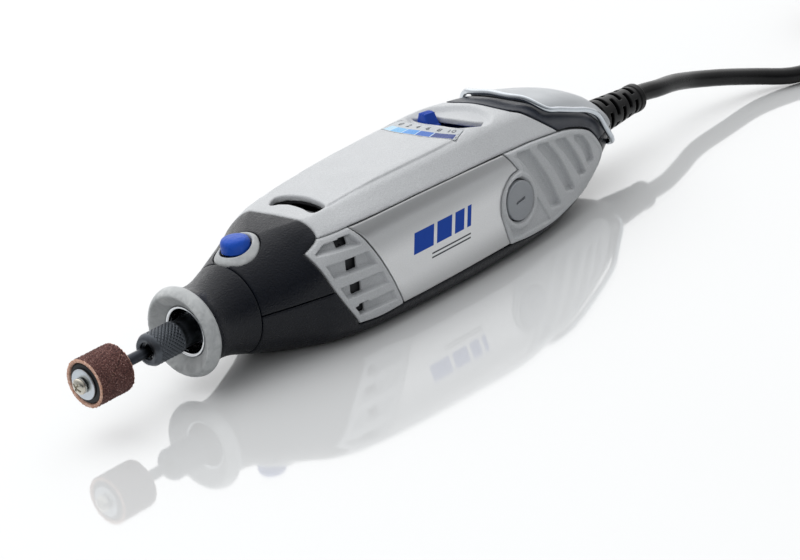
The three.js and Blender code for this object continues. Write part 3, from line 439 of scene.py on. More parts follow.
def rU(a, b, r):
    u, v = np.maximum(r - a, 0), np.maximum(r - b, 0)
    return np.maximum(r, np.minimum(a, b)) - np.sqrt(u * u + v * v)


def rS(a, b, r):
    return rI(a, -b, r)


def sm(t):
    t = np.clip(t, 0, 1)
    return t * t * (3 - 2 * t)


def box3(x, y, z, lo, hi, r):
    c = [(a + b) / 2 for a, b in zip(lo, hi)]
    s = [(b - a) / 2 - r for a, b in zip(lo, hi)]
    q = [np.abs(v - cc) - ss for v, cc, ss in zip((x, y, z), c, s)]
    out = np.sqrt(sum(np.maximum(a, 0) ** 2 for a in q))
    return out + np.minimum(np.maximum(q[0], np.maximum(q[1], q[2])), 0) - r


OFFS = np.array([[i, j, k] for i in (0, 1) for j in (0, 1) for k in (0, 1)])
EDGES = [(a, b) for a in range(8) for b in range(a + 1, 8) if np.abs(OFFS[a] - OFFS[b]).sum() == 1]


def nets(f, lo, hi, h, rounds=2):
    """Closed quad surface of f = 0 inside the box, each vertex then moved onto it."""
    ax = [np.arange(lo[k], hi[k] + h, h).astype(np.float32) for k in range(3)]
    X, Y, Z = ax[0][:, None, None], ax[1][None, :, None], ax[2][None, None, :]
    F = np.array(np.broadcast_to(f(X, Y, Z), tuple(len(a) for a in ax)), np.float32)
    for k in range(3):
        sl = [slice(None)] * 3
        for e in (0, -1):
            sl[k] = e
            F[tuple(sl)] = np.maximum(F[tuple(sl)], h * 0.5)
    S = F < 0
    cnt = np.zeros(tuple(n - 1 for n in S.shape), np.uint8)
    for o in OFFS:
        cnt += S[tuple(slice(o[k], S.shape[k] - 1 + o[k]) for k in range(3))]
    act = (cnt > 0) & (cnt < 8)
    idx = np.argwhere(act)
    vid = np.full(act.shape, -1, np.int32)
    vid[act] = np.arange(len(idx))
    V = np.stack([F[tuple((idx + o).T)] for o in OFFS], 1)
    P, C = np.zeros((len(idx), 3)), np.zeros(len(idx))
    for a, b in EDGES:
        va, vb = V[:, a], V[:, b]
        m = (va < 0) != (vb < 0)
        t = va[m] / (va[m] - vb[m])
        P[m] += OFFS[a] + t[:, None] * (OFFS[b] - OFFS[a])
        C[m] += 1
    P = (P / C[:, None] + idx) * h + np.array(lo, float)
    quads = []
    for k in range(3):
        u, v = (k + 1) % 3, (k + 2) % 3
        a = [slice(1, -1)] * 3
        b = [slice(1, -1)] * 3
        a[k], b[k] = slice(0, -1), slice(1, None)
        A, B = S[tuple(a)], S[tuple(b)]
        m = np.argwhere(A != B)
        out = A[tuple(m.T)]
        base = m.copy()
        base[:, u] += 1
        base[:, v] += 1
        du, dv = np.zeros(3, int), np.zeros(3, int)
        du[u], dv[v] = 1, 1
        q = np.stack([vid[tuple((base - s).T)] for s in (du + dv, dv, du * 0, du)], 1)
        q[~out] = q[~out][:, ::-1]
        quads.append(q)
    Q = np.concatenate(quads)
    for _ in range(rounds):
        val = f(P[:, 0], P[:, 1], P[:, 2])
        e = 0.03
        g = np.stack([(f(*(P + d).T) - f(*(P - d).T)) / (2 * e) for d in np.eye(3) * e], 1)
        step = -(val / np.maximum((g * g).sum(1), 0.25))[:, None] * g
        n = np.linalg.norm(step, axis=1, keepdims=True)
        P = P + step * np.minimum(1, 0.4 * h / np.maximum(n, 1e-9))
    return P, Q


def mirrored(P, Q):
    P = P.copy()
    P[:, 1] *= -1
    return P, Q[:, ::-1]


def loop(pts, n=7):
    """Closed outline through the points, smooth except at corners, which have a third entry."""
    k = len(pts)
    p = np.array([q[:2] for q in pts], float)
    cor = [len(q) > 2 for q in pts]
    out = []
    for i in range(k):
        j = (i + 1) % k
        a, b = p[i], p[j]
        ta = (b - a) if cor[i] else (b - p[i - 1]) / 2
        tb = (b - a) if cor[j] else (p[(j + 1) % k] - a) / 2
        la, lb, lc = np.linalg.norm(b - a), max(np.linalg.norm(ta), 1e-9), max(np.linalg.norm(tb), 1e-9)
        ta, tb = ta * la / lb, tb * la / lc
        for t in np.arange(n) / n:
            out.append(
                (2 * t**3 - 3 * t**2 + 1) * a + (t**3 - 2 * t**2 + t) * ta + (-2 * t**3 + 3 * t**2) * b + (t**3 - t**2) * tb
            )
    return np.array(out)


class Outline:
    """Signed distance to a closed outline in a plane, negative inside."""

    def __init__(self, pts, n=7):
        self.p = loop(pts, n)

    def __call__(self, a, b):
        a, b = np.broadcast_arrays(np.asarray(a, np.float32), np.asarray(b, np.float32))
        best = np.full(a.shape, 1e9, np.float32)
        inside = np.zeros(a.shape, bool)
        p = self.p
        for i in range(len(p)):
            p0, p1 = p[i], p[(i + 1) % len(p)]
            e = p1 - p0
            l2 = float(e @ e)
            if l2 < 1e-12:
                continue
            wx, wy = a - p0[0], b - p0[1]
            t = np.clip((wx * e[0] + wy * e[1]) / l2, 0, 1)
            dx, dy = wx - t * e[0], wy - t * e[1]
            np.minimum(best, dx * dx + dy * dy, out=best)
            c = (p0[1] > b) != (p1[1] > b)
            if e[1] != 0:
                inside ^= c & (a < e[0] * (b - p0[1]) / e[1] + p0[0])
        d = np.sqrt(best)
        return np.where(inside, -d, d)


# ------------------------------------------------------------------ the body's form
ST = np.array(
    [
        [19.5, 13.4, 5.55, 13.4, 13.4, 13.4, 5.55, 13.4, 13.4, 13.4, -13.4],
        [24.0, 15.2, 6.3, 15.2, 15.2, 15.2, 6.3, 15.2, 15.2, 15.2, -15.1],
        [29.0, 17.0, 7.1, 17.0, 16.5, 17.2, 7.3, 16.8, 17.2, 16.5, -16.6],
        [34.0, 18.4, 8.0, 18.5, 16.5, 18.9, 9.0, 17.0, 19.1, 15.0, -17.25],
        [41.0, 19.8, 10.0, 20.0, 13.0, 20.6, 12.6, 14.0, 22.1, 11.0, -17.25],
        [50.0, 21.0, 11.5, 21.4, 10.0, 21.6, 15.2, 11.0, 23.7, 8.5, -17.25],
        [60.0, 22.0, 13.0, 22.3, 8.5, 22.2, 15.4, 10.0, 24.8, 7.5, -17.25],
        [80.0, 23.2, 14.5, 23.1, 7.5, 22.9, 15.0, 10.0, 25.6, 6.5, -17.25],
        [100.0, 23.9, 15.5, 23.3, 7.0, 23.4, 14.5, 10.0, 25.7, 6.0, -17.25],
        [120.0, 24.6, 15.8, 23.5, 7.0, 23.4, 14.0, 10.0, 25.5, 6.5, -17.25],
        [135.0, 24.0, 14.8, 22.5, 8.0, 22.6, 13.2, 10.0, 24.6, 7.5, -17.25],
        [150.0, 22.4, 12.5, 20.6, 9.0, 20.4, 11.6, 10.0, 22.4, 9.0, -16.8],
        [165.0, 18.8, 9.5, 17.2, 9.0, 16.9, 9.0, 9.0, 18.8, 9.5, -14.2],
        [178.0, 13.0, 6.6, 11.8, 8.0, 12.6, 5.8, 8.0, 14.2, 9.0, -10.8],
        [186.0, 7.6, 4.2, 6.9, 5.5, 9.2, 3.0, 5.5, 10.6, 6.8, -8.0],
        [190.0, 4.6, 3.0, 4.1, 3.5, 7.2, 1.5, 3.5, 8.6, 5.0, -6.3],
    ]
)
XS = ST[:, 0]
_h = np.diff(XS)[:, None]
_d = np.diff(ST[:, 1:], axis=0) / _h
SLOPE = np.zeros((len(XS), 10))
SLOPE[0], SLOPE[-1] = _d[0], _d[-1]
for _k in range(1, len(XS) - 1):
    a_, b_ = _d[_k - 1], _d[_k]
    w1, w2 = 2 * _h[_k] + _h[_k - 1], _h[_k] + 2 * _h[_k - 1]
    ok = a_ * b_ > 0
    SLOPE[_k] = np.where(ok, (w1 + w2) / (w1 / np.where(ok, a_, 1) + w2 / np.where(ok, b_, 1)), 0)


def corners(x):
    """Rounded polygon of the section at x: corner points, edge directions, arc centres and radii."""
    x = np.clip(np.asarray(x, float), XS[0], XS[-1])
    i = np.clip(np.searchsorted(XS, x, "right") - 1, 0, len(XS) - 2)
    h = XS[i + 1] - XS[i]
    t = ((x - XS[i]) / h)[..., None]
    h = h[..., None]
    s = (
        (2 * t**3 - 3 * t**2 + 1) * ST[i, 1:]
        + (t**3 - 2 * t**2 + t) * h * SLOPE[i]
        + (-2 * t**3 + 3 * t**2) * ST[i + 1, 1:]
        + (t**3 - t**2) * h * SLOPE[i + 1]
    )
    zt, y1, z1, r1, y2, z2, r2, y3, r3, zb = [s[..., k] for k in range(10)]
    o = np.zeros_like(zt)
    P = np.stack([np.stack(q, -1) for q in ((o, zt), (y1, z1), (y2, z2), (y3, zb), (-y3, zb), (-y2, z2), (-y1, z1))], -2)
    r = np.stack([o + 40, r1, r2, r3, r3, r2, r1], -1)
    E = np.roll(P, -1, -2) - P
    L = np.linalg.norm(E, axis=-1)
    u = E / L[..., None]
    w = np.roll(u, 1, -2)
    turn = np.abs(np.arctan2(w[..., 0] * u[..., 1] - w[..., 1] * u[..., 0], (w * u).sum(-1)))
    tn = np.tan(turn / 2)
    k = np.ones_like(r)
    T = r * tn
    for a in range(7):
        b = (a + 1) % 7
        ssum = T[..., a] + T[..., b]
        f = np.where(ssum > L[..., a] * 0.999, L[..., a] * 0.999 / np.maximum(ssum, 1e-9), 1.0)
        for c in (a, b):
            T[..., c] *= f
            k[..., c] *= f
    rr = r * k
    start = P - w * T[..., None]
    nr = np.stack([w[..., 1], -w[..., 0]], -1)
    return P, u, w, start + nr * rr[..., None], rr


def body(x, y, z):
    """Distance from the body's surface in the plane of the section, negative inside."""
    P, u, w, c, rr = corners(x)
    D = None
    y, z = np.asarray(y, np.float32), np.asarray(z, np.float32)
    P, u, w, c, rr = (v.astype(np.float32) for v in (P, u, w, c, rr))
    for i in range(7):
        e = (z - P[..., i, 1]) * u[..., i, 0] - (y - P[..., i, 0]) * u[..., i, 1]
        D = e if D is None else np.maximum(D, e)
    for i in range(7):
        vy, vz = y - c[..., i, 0], z - c[..., i, 1]
        inw = (vy * w[..., i, 0] + vz * w[..., i, 1] >= 0) & (vy * u[..., i, 0] + vz * u[..., i, 1] <= 0)
        D = np.where(inw, np.maximum(D, np.sqrt(vy * vy + vz * vz) - rr[..., i]), D)
    return D


def surf_z(x, y):
    zz = np.linspace(5, 27, 1101)
    return float(zz[np.argmax(body(np.full(1101, x), np.full(1101, float(y)), zz) > 0)])


def surf_y(x, z):
    yy = np.linspace(2, 28, 1301)
    return float(yy[np.argmax(body(np.full(1301, x), yy, np.full(1301, float(z))) > 0)])


# outlines seen from the side, [x, z]
GRILLE = Outline([(36.95, 12.55, 1), (41.75, 15.2, 1), (46.5, 15.45), (51.5, 15.7, 1), (54.6, 11.7), (58.8, 4.7), (62, -2.5), (63.8, -8.0), (64.85, -11.9, 1), (56, -12.45), (48.4, -11.85, 1), (44.5, -5.2), (40.9, 2.2)])
PANEL = Outline([(51.85, 15.55, 1), (70, 15.7), (85, 15.65), (102, 15.4), (117.9, 14.9, 1), (122.3, 8.95, 1), (118.3, 8.1), (114.7, 5.6), (112.5, 2.6), (111.5, -1.3), (111.8, -5), (113.15, -11.3, 1), (90, -11.45), (65.25, -11.6, 1), (64.2, -7.8), (62.4, -2.3), (59.2, 4.9), (55.0, 11.9)])
GRIP = Outline([(118.35, 15.05, 1), (132.3, 14.15), (147.8, 11.95), (156.9, 9.75), (166.5, 6.0), (171.7, 1.7), (175.3, -3.6), (173.9, -7.7), (164, -10.95), (150, -12.05), (135.6, -13.2), (123.2, -12.65), (113.55, -11.65, 1), (112.1, -5), (111.8, -1.3), (112.8, 2.45), (114.9, 5.3), (118.5, 7.75), (122.75, 8.7, 1)])
SEAT = Outline([(36.5, 12.45, 1), (41.85, 15.42, 1), (46.5, 15.65), (51.5, 15.92), (70, 16.0), (85, 15.95), (102, 15.7), (118.2, 15.35), (132.5, 14.45), (148, 12.25), (157.1, 10.05), (166.9, 6.2), (172.1, 1.75), (175.75, -3.6), (174.3, -8.0), (164.1, -11.25), (150, -12.35), (135.6, -13.5), (123, -12.95), (113.2, -11.95), (90, -11.75), (65.2, -11.95), (56, -12.75), (48.15, -12.15, 1), (44.2, -5.3), (40.55, 2.1)])
FRONT = Outline([(19.75, 0.12, 1), (19.75, 30, 1), (42.45, 30, 1), (42.55, 20), (42.6, 17.2), (41.6, 15.4), (36.35, 12.45, 1), (40.3, 2.1), (41.4, 0.12, 1)])
FRONT_SEAT = Outline([(19, -0.5, 1), (19, 31, 1), (42.75, 31, 1), (42.85, 20), (42.9, 17.1), (41.8, 15.15), (36.6, 12.25, 1), (40.55, 2.1), (42.1, -0.5, 1)])
BAND = Outline([(133.5, 30, 1), (133.7, 23.4), (137.2, 21.3), (141.8, 17.7), (147.9, 12.55, 1), (157.1, 10.4), (167.1, 6.5), (172.3, 2.1), (173.6, 0.12, 1), (181.3, 0.12, 1), (175.4, 6.2), (168.9, 10.8), (160, 14.35), (151, 17.9), (144, 22.0), (141, 24.4), (140.5, 30, 1)])
CAP = Outline([(140.8, 30, 1), (141.25, 24.5), (144.2, 22.25), (151.2, 18.2), (160.2, 14.7), (169.2, 11.1), (175.8, 6.4), (181.8, 0.12, 1), (188.2, 0.12, 1), (188.2, 30, 1)])
REAR_SEAT = Outline([(133.2, 31, 1), (133.4, 23.3), (137, 21.05), (141.6, 17.45), (147.8, 12.3, 1), (157, 10.05), (167, 6.1), (172.2, 1.65), (173.9, -0.5, 1), (191, -0.5, 1), (191, 31, 1)])
VENT = Outline([(47.3, 5.9), (49.4, 7.6), (51.9, 7.9), (53.8, 5.2), (54.5, 0), (54.2, -5), (52.4, -10.9), (50.0, -11.4), (47.7, -10.4), (48.7, -5.5), (49.1, -0.4), (48.5, 3.2)])
SWITCH_X = 147.0


def side(y):
    return 5.0 - np.abs(y)


def skin(D, region, r=0.45, t=1.3):
    return np.maximum(rI(D, region, r), -(D + t))


# --- the light grey cover, and the hidden shell it belongs to
def f_cover(x, y, z):
    D = body(x, y, z)
    ay = np.abs(y)
    yc = 11.3 + 0.109 * (x - 51.7) - 0.00095 * (x - 51.7) ** 2
    crease = sm((ay - yc) / 0.45) * np.exp(-np.maximum(ay - yc, 0) / 3.2)
    D = D + 0.50 * crease * sm((x - 51.0) / 2.0) * sm((112.0 - x) / 14.0) * (z > 12)
    e = np.sqrt(((x - 120.6) / 10.6) ** 2 + (y / 15.8) ** 2)
    D = D + 1.75 * sm((1.0 - e) / 0.22)
    # seat of the scale
    rad = np.sqrt((x - SWITCH_X) ** 2 + y * y)
    ang = np.degrees(np.arctan2(ay, SWITCH_X - x))
    sc = np.maximum(np.abs(rad - 40.05) - 4.25, (ang - 20.6) * 0.7)
    D = D + 0.38 * sm(-sc / 0.25 + 0.5)
    seats = np.minimum(FRONT_SEAT(x, z), REAR_SEAT(x, z))
    seats = np.minimum(seats, np.maximum(SEAT(x, z) + 0.07, side(y)))
    out = rI(D, -seats, 0.6)
    out = rI(out, 0.12 - z, 0.3)
    vent = np.maximum(VENT(x, y), 8 - z)
    out = rS(out, vent, 0.55)
    slot = np.maximum(np.maximum(np.abs(rad - 28.2) - 3.1, (ang - 25) * 0.5), 8 - z)
    out = rS(out, slot, 0.45)
    return np.maximum(out, -(D + 1.9))


h0 = 0.42
P, Q = nets(f_cover, (35.5, -25, 0), (150, 25, 26.5), h0)
mesh_obj("top_cover", P, Q, "grey", "housing", ["upper_housing"])


def f_shell_up(x, y, z):
    D0 = D = body(x, y, z)
    D = D + 1.7 * sm(-SEAT(x, z) / 1.2) * (np.abs(y) > 6)
    D = np.maximum(D + 2.15, -(D + 3.2))
    out = np.maximum(D, 0.1 - z)
    out = np.maximum(out, -np.maximum(VENT(x, y) - 0.5, 6 - z))
    e = np.sqrt(((x - 120.6) / 12.0) ** 2 + (y / 17.0) ** 2) - 1
    out = np.maximum(out, -np.maximum(e * 10, 8 - z))
    out = np.maximum(out, -np.maximum(np.sqrt((x - 26.3) ** 2 + y * y) - 5.2, 5 - z))
    louvre = np.maximum(np.maximum(np.abs(x - 51.3 + 0.012 * (y + 2) ** 2) - 0.6, np.abs(y + 1.5) - 10.5), D0 + 2.35)
    louvre = np.maximum(louvre, np.maximum(-(D0 + 3.7), 8 - z))
    out = np.minimum(out, louvre)
    for s in (-1, 1):
        out = np.maximum(out, -np.maximum(np.sqrt((x - 120.3) ** 2 + z * z) - 6.9, 5 - s * y))
    out = np.maximum(out, -(np.maximum(np.sqrt(y * y + z * z) - 6.3, 175 - x)))
    return out


P, Q = nets(f_shell_up, (20.2, -24, 0), (187.5, 24, 24), 0.8)
mesh_obj("shell_upper_inner", P, Q, "inner", "housing", ["upper_housing"])


def f_shell_low(x, y, z):
    D = body(x, y, z)
    D = D + 1.7 * sm(-SEAT(x, z) / 1.2) * (np.abs(y) > 6)
    D = np.maximum(D + 1.75, -(D + 3.2))
    out = np.maximum(D, z + 0.1)
    for s in (-1, 1):
        out = np.maximum(out, -np.maximum(np.sqrt((x - 120.3) ** 2 + z * z) - 6.9, 5 - s * y))
    out = np.maximum(out, -(np.maximum(np.sqrt(y * y + z * z) - 6.3, 175 - x)))
    for sx, sy in ((33, 11.5), (143.5, 15.5)):
        out = np.maximum(out, -np.maximum(np.sqrt((x - sx) ** 2 + (np.abs(y) - sy) ** 2) - 3.0, z + 4))
    return out


P, Q = nets(f_shell_low, (20.2, -24, -17.3), (187.5, 24, 0.5), 0.8)
mesh_obj("shell_lower_inner", P, Q, "inner", "housing", ["lower_housing"])


def f_lower(x, y, z):
    D = body(x, y, z)
    out = rI(D, -np.maximum(SEAT(x, z), side(y)), 0.4)
    out = rI(out, z + 0.11, 0.16)
    out = rI(out, 19.82 - x, 0.3)
    out = rI(out, x - 189.6, 0.6)
    out = rS(out, np.maximum(np.sqrt((x - 143.5) ** 2 + (np.abs(y) - 15.5) ** 2) - 3.0, z + 4), 0.35)
    out = np.maximum(out, -np.maximum(np.sqrt((x - 183.5) ** 2 + (z + 4) ** 2) - 1.35, 6.5 - np.abs(y)))
    out = np.maximum(out, -(D + 1.65))
    # the tail closes round the strain relief
    tail = np.maximum(rI(D, 186.0 - x, 0.1), np.maximum(z + 0.11, x - 189.6))
    out = np.minimum(out, tail)
    return rS(out, np.maximum(np.sqrt(y * y + z * z) - 6.0, 170 - x), 0.3)


P, Q = nets(f_lower, (19.3, -25.8, -17.7), (190.2, 25.8, 0.4), h0)
mesh_obj("lower_shell", P, Q, "black", "housing", ["lower_housing"])


# --- front grip with the bezel's opening
def f_front(x, y, z):
    D = body(x, y, z)
    out = skin(D, FRONT(x, z), 0.4)
    bez = np.sqrt(((x - 26.4) / 6.75) ** 2 + (y / 7.25) ** 2) - 1
    return rS(out, np.maximum(bez * 6.8, 5 - z), 0.25)


P, Q = nets(f_front, (19.2, -21.5, 0), (43.2, 21.5, 21), 0.33)
mesh_obj("front_cover", P, Q, "black", "housing", ["front_grip"])


def f_bezel(x, y, z):
    D = body(x, y, z)
    e = np.sqrt(((x - 26.4) / 6.45) ** 2 + (y / 6.95) ** 2) - 1
    rho = np.sqrt((x - 26.3) ** 2 + y * y)
    lift = 0.95 * sm((7.0 - rho) / 2.0)
    out = rI(D - lift, e * 6.5, 0.5)
    out = rS(out, rho - 4.75, 0.5)
    return np.maximum(out, np.maximum(-(D + 1.3), 8 - z))


P, Q = nets(f_bezel, (19.6, -7.3, 9), (33.2, 7.3, 19.6), 0.24)
mesh_obj("button_bezel", P, Q, "ring", "housing", ["lock_bezel"])


# --- sides
def f_grille(x, y, z):
    D = body(x, y, z)
    G = GRILLE(x, z)
    ribs = None
    for x0, z0, x1, z1, r0, r1 in ((37.5, 9.9, 58.5, 8.6, 1.35, 1.0), (41, 2.2, 62.0, 1.3, 1.35, 1.0), (43.5, -4.9, 64, -5.4, 1.35, 0.95), (47, -10.6, 66, -10.8, 1.0, 0.8)):
        t = np.clip(((x - x0) * (x1 - x0) + (z - z0) * (z1 - z0)) / ((x1 - x0) ** 2 + (z1 - z0) ** 2), 0, 1)
        d = np.sqrt((x - x0 - t * (x1 - x0)) ** 2 + (z - z0 - t * (z1 - z0)) ** 2) - (r0 + (r1 - r0) * t)
        ribs = d if ribs is None else np.minimum(ribs, d)
    pocket = np.maximum(G + 1.35, -ribs)
    depth = 2.25 * sm(-pocket / 0.95) * (0.5 + 0.5 * sm((61.5 - x) / 9.0))
    out = rI(D + depth, G, 0.45)
    out = np.maximum(out, -(D + 3.1))
    for cx, cz, w, hh in ((48.7, 12.6, 3.9, 3.1), (50.3, 5.6, 3.9, 3.9), (50.3, -1.5, 3.9, 3.8), (50.1, -7.6, 3.7, 3.2)):
        q = np.maximum(np.abs(x - cx - 0.12 * (z - cz)) - w / 2, np.abs(z - cz) - hh / 2)
        out = rS(out, q, 0.3)
    return np.maximum(out, 5 + y)


CH = [
    Outline([(124.0, 13.0, 1), (129.3, 12.15, 1), (133.2, 6.2), (136.9, 0.0), (140.7, -8.4, 1), (136.4, -7.6, 1), (132.9, -0.5), (128.9, 6.6)]),
    Outline([(134.8, 11.95, 1), (139.2, 11.0, 1), (143.3, 5.9), (146.9, 0.0), (150.0, -6.7, 1), (146.3, -5.8, 1), (143.0, 0.3), (139.4, 6.0)]),
    Outline([(145.1, 10.0, 1), (150.0, 8.8, 1), (153.2, 4.8), (156.1, 0.5), (159.0, -4.8, 1), (155.5, -4.0, 1), (152.2, 1.2), (149.0, 5.6)]),
    Outline([(156.4, 7.35, 1), (161.8, 5.2, 1), (165.3, 1.2), (166.3, -3.2, 1), (163.0, -3.4, 1), (161.0, 1.6), (159.2, 4.4)]),
]


def f_grip(x, y, z):
    D = body(x, y, z)
    G = GRIP(x, z)
    ch = None
    for c in CH:
        d = c(x, z)
        ch = d if ch is None else np.minimum(ch, d)
    rb = np.sqrt((x - 120.3) ** 2 + z * z)
    field = np.maximum(G + 1.6, 8.9 - rb)
    field = np.maximum(np.maximum(field, 112.0 - x), x - 128.5 + 0.55 * z)
    D2 = D + 0.55 * sm(-field / 0.5) + 1.75 * sm(-(ch - 0.75) / 1.0 + 0.3) - 0.75 * sm((8.9 - rb) / 0.7) + 0.75 * sm((7.3 - rb) / 0.5)
    D2 = D2 - 0.35 * sm((G + 1.9) / 0.6)
    out = skin(D2, G, 0.45, 1.4 - 0.9)
    out = np.maximum(rI(D2, G, 0.45), -(D + 2.75))
    out = rS(out, rb - 6.55, 0.3)
    return np.maximum(out, 5 + y)


def f_panel(x, y, z):
    D = body(x, y, z)
    return np.maximum(skin(D, PANEL(x, z) - 0.09, 0.3), 5 + y)


def f_cap(x, y, z):
    rb = np.sqrt((x - 120.3) ** 2 + z * z)
    out = rI(rb - 6.15, -y - 25.25, 0.35)
    out = np.maximum(out, y + 22.9)
    e = np.maximum(np.maximum(np.abs(x - 120.3 - 0.1 * z) - 2.1, np.abs(z - 0.15 * (x - 120.3)) - 0.42), y + 24.4)
    return rS(out, e, 0.1)


for name, f, lo, hi, hh, mat, slot, node in (
    ("grille", f_grille, (36, -25.2, -13.3), (66, -12.5, 16.6), 0.3, "grey", "housing_grey", "front_grille"),
    ("rear_grip", f_grip, (110.8, -26.2, -14), (176.4, -11, 16), 0.36, "grey_grip", "housing_grey", "rear_grip"),
    ("side_plate", f_panel, (51, -25.9, -12.2), (123.5, -19, 16.4), 0.42, "panel", "panel_silver", "side_panel"),
    ("brush_plug", f_cap, (113.7, -25.6, -6.6), (126.9, -22.6, 6.6), 0.2, "brush", "housing_grey", "brush_cap"),
):
    if mat == "brush":
        M["brush"] = moulded("plastic_brush_cap", (0.27, 0.285, 0.305), 0.42, 1900, 0.00005, 0.5, 0.05, 0.5, 0.15).mat
    P, Q = nets(f, lo, hi, hh)
    for s, (PP, QQ) in (("left", (P, Q)), ("right", mirrored(P, Q))):
        bod = "brush_cap_" + s if node == "brush_cap" else "housing"
        mesh_obj(name + "_" + s, PP, QQ, mat, bod, [node + "_" + s])


# --- tail
def f_band(x, y, z):
    D = body(x, y, z)
    out = skin(D, BAND(x, z), 0.4)
    return np.maximum(out, -np.maximum(np.sqrt(y * y + z * z) - 6.6, 170 - x))


def f_tail(x, y, z):
    D = body(x, y, z) - 0.6
    out = np.maximum(rI(D, CAP(x, z), 0.7), -(D + 1.9))
    out = np.maximum(out, 0.15 - z)
    return rS(out, np.maximum(np.sqrt(y * y + z * z) - 6.6, 170 - x), 0.3)


P, Q = nets(f_band, (132.6, -22, 0), (182.4, 22, 25.5), 0.36)
mesh_obj("rear_rim", P, Q, "slate", "housing", ["rear_band"])
P, Q = nets(f_tail, (140.0, -18, 0), (188.8, 18, 25.8), 0.36)
mesh_obj("tail_cap", P, Q, "cap_grey", "housing", ["rear_cap"])


# ------------------------------------------------------------------ turned parts
def rounded(pts, r, closed=False, n=4):
    """Profile with its corners turned to small arcs; a point may carry its own radius."""
    p = [np.array(q[:2], float) for q in pts]
    rad = [q[2] if len(q) > 2 else r for q in pts]
    out, k = [], len(p)
    for i in range(k):
        if not closed and i in (0, k - 1):
            out.append(p[i])
            continue
        a, b, c = p[i - 1], p[i], p[(i + 1) % k]
        la, lc = np.linalg.norm(a - b), np.linalg.norm(c - b)
        d = min(rad[i], 0.45 * la, 0.45 * lc)
        if d < 1e-4:
            out.append(b)
            continue
        s, e = b + (a - b) / la * d, b + (c - b) / lc * d
        for t in np.linspace(0, 1, n + 1):
            out.append((1 - t) ** 2 * s + 2 * t * (1 - t) * b + t * t * e)
    return np.array(out)


def lathe_mesh(prof, seg=96, closed=False, axis="x", centre=(0.0, 0.0), push=None):
    """prof of [radius, place along the axis]. Ends at radius 0 close with a pole."""
    prof = np.asarray(prof, float)
    th = np.linspace(0, 2 * np.pi, seg, endpoint=False)
    R, A = np.meshgrid(prof[:, 0], th, indexing="ij")[0], np.repeat(prof[:, 1][:, None], seg, 1)
    TH = np.repeat(th[None, :], len(prof), 0)
    if push is not None:
        R = R + push(R, A, TH)
    c, s = R * np.cos(TH), R * np.sin(TH)
    if axis == "x":
        V = np.stack([A, c + centre[0], s + centre[1]], -1)
    elif axis == "z":
        V = np.stack([c + centre[0], s + centre[1], A], -1)
    else:
        V = np.stack([c + centre[0], A, s + centre[1]], -1)
    V = V.reshape(-1, 3)
    n = len(prof)
    rows = range(n if closed else n - 1)
    F, T = [], []
    j = np.arange(seg)
    jn = (j + 1) % seg
    pole0, pole1 = (not closed) and prof[0, 0] < 1e-6, (not closed) and prof[-1, 0] < 1e-6
    for i in rows:
        k = (i + 1) % n
        if pole0 and i == 0:
            T.append(np.stack([np.full(seg, 0), k * seg + j, k * seg + jn], 1))
        elif pole1 and k == n - 1:
            T.append(np.stack([i * seg + j, np.full(seg, k * seg), i * seg + jn], 1))
        else:
            F.append(np.stack([i * seg + j, k * seg + j, k * seg + jn, i * seg + jn], 1))
    F = np.concatenate(F) if F else np.zeros((0, 4), int)
    T = np.concatenate(T) if T else np.zeros((0, 3), int)
    # right way out
    tri = np.concatenate([F[:, [0, 1, 2]], F[:, [0, 2, 3]], T]) if len(F) else T
    vol = np.einsum("ij,ij->i", V[tri[:, 0]], np.cross(V[tri[:, 1]], V[tri[:, 2]])).sum()
    if vol < 0:
        F, T = F[:, ::-1], T[:, ::-1]
    # drop vertices of the poles that nothing uses
    used = np.zeros(len(V), bool)
    for g in (F, T):
        used[g.ravel()] = True
    new = np.cumsum(used) - 1
    return V[used], [new[F], new[T]]


def turned(name, prof, mat, body_name, slot, repl=(), **kw):
    V, F = lathe_mesh(prof, **kw)
    return mesh_obj(name, V, F, mat, body_name, repl)


outer = [(12.45, 4.55), (12.1, 5.2), (11.55, 6.4), (11.2, 7.9), (11.1, 9.4), (11.2, 11.2), (11.5, 13.2), (12.0, 15.2), (12.65, 17.2), (13.25, 18.9), (13.36, 19.45)]
turned(
    "nose_sleeve",
    rounded([(8.7, 4.55, 0.2), (12.45, 4.55, 0.25), *[(a, b, 1.0) for a, b in outer[1:-1]], (13.36, 19.45, 0.35), (9.4, 19.45, 0.2), (8.7, 14, 1.0)], 0.3, closed=True, n=4),
    "black", "nose_cap", "housing_dark", ["nose_cap"], seg=144, closed=True,
)


def ticks(R, A, TH):
    # shallow radial marks on the funnel and on the outer bevel
    k = np.cos(18 * TH) ** 24
    face = ((A < 2.5) & (A > 0.15) & (R < 12.6)).astype(float)
    return -0.3 * k * face


turned(
    "nose_collar",
    rounded([(12.55, 4.45, 0.25), (13.22, 3.3, 0.5), (13.3, 2.5, 0.5), (12.95, 1.35, 0.6), (12.15, 0.3, 0.4), (11.6, 0.02, 0.25), (11.25, 0.1, 0.25), (7.75, 2.75, 0.3), (7.55, 3.1, 0.2), (7.55, 4.45, 0.2)], 0.3, closed=True, n=5),
    "ring", "nose_cap", "ring_grey", ["nose_ring"], seg=216, closed=True, push=ticks,
)
turned(
    "nose_lining",
    rounded([(6.55, 3.0, 0.3), (7.0, 2.65, 0.3), (7.45, 2.65, 0.2), (7.45, 4.7, 0.2), (8.3, 4.8, 0.2), (8.3, 12, 0.2), (7.4, 12, 0.2), (6.55, 4.6, 0.6)], 0.3, closed=True, n=4),
    "chrome", "nose_cap", "bright_chrome", ["nose_insert"], seg=96, closed=True,
)

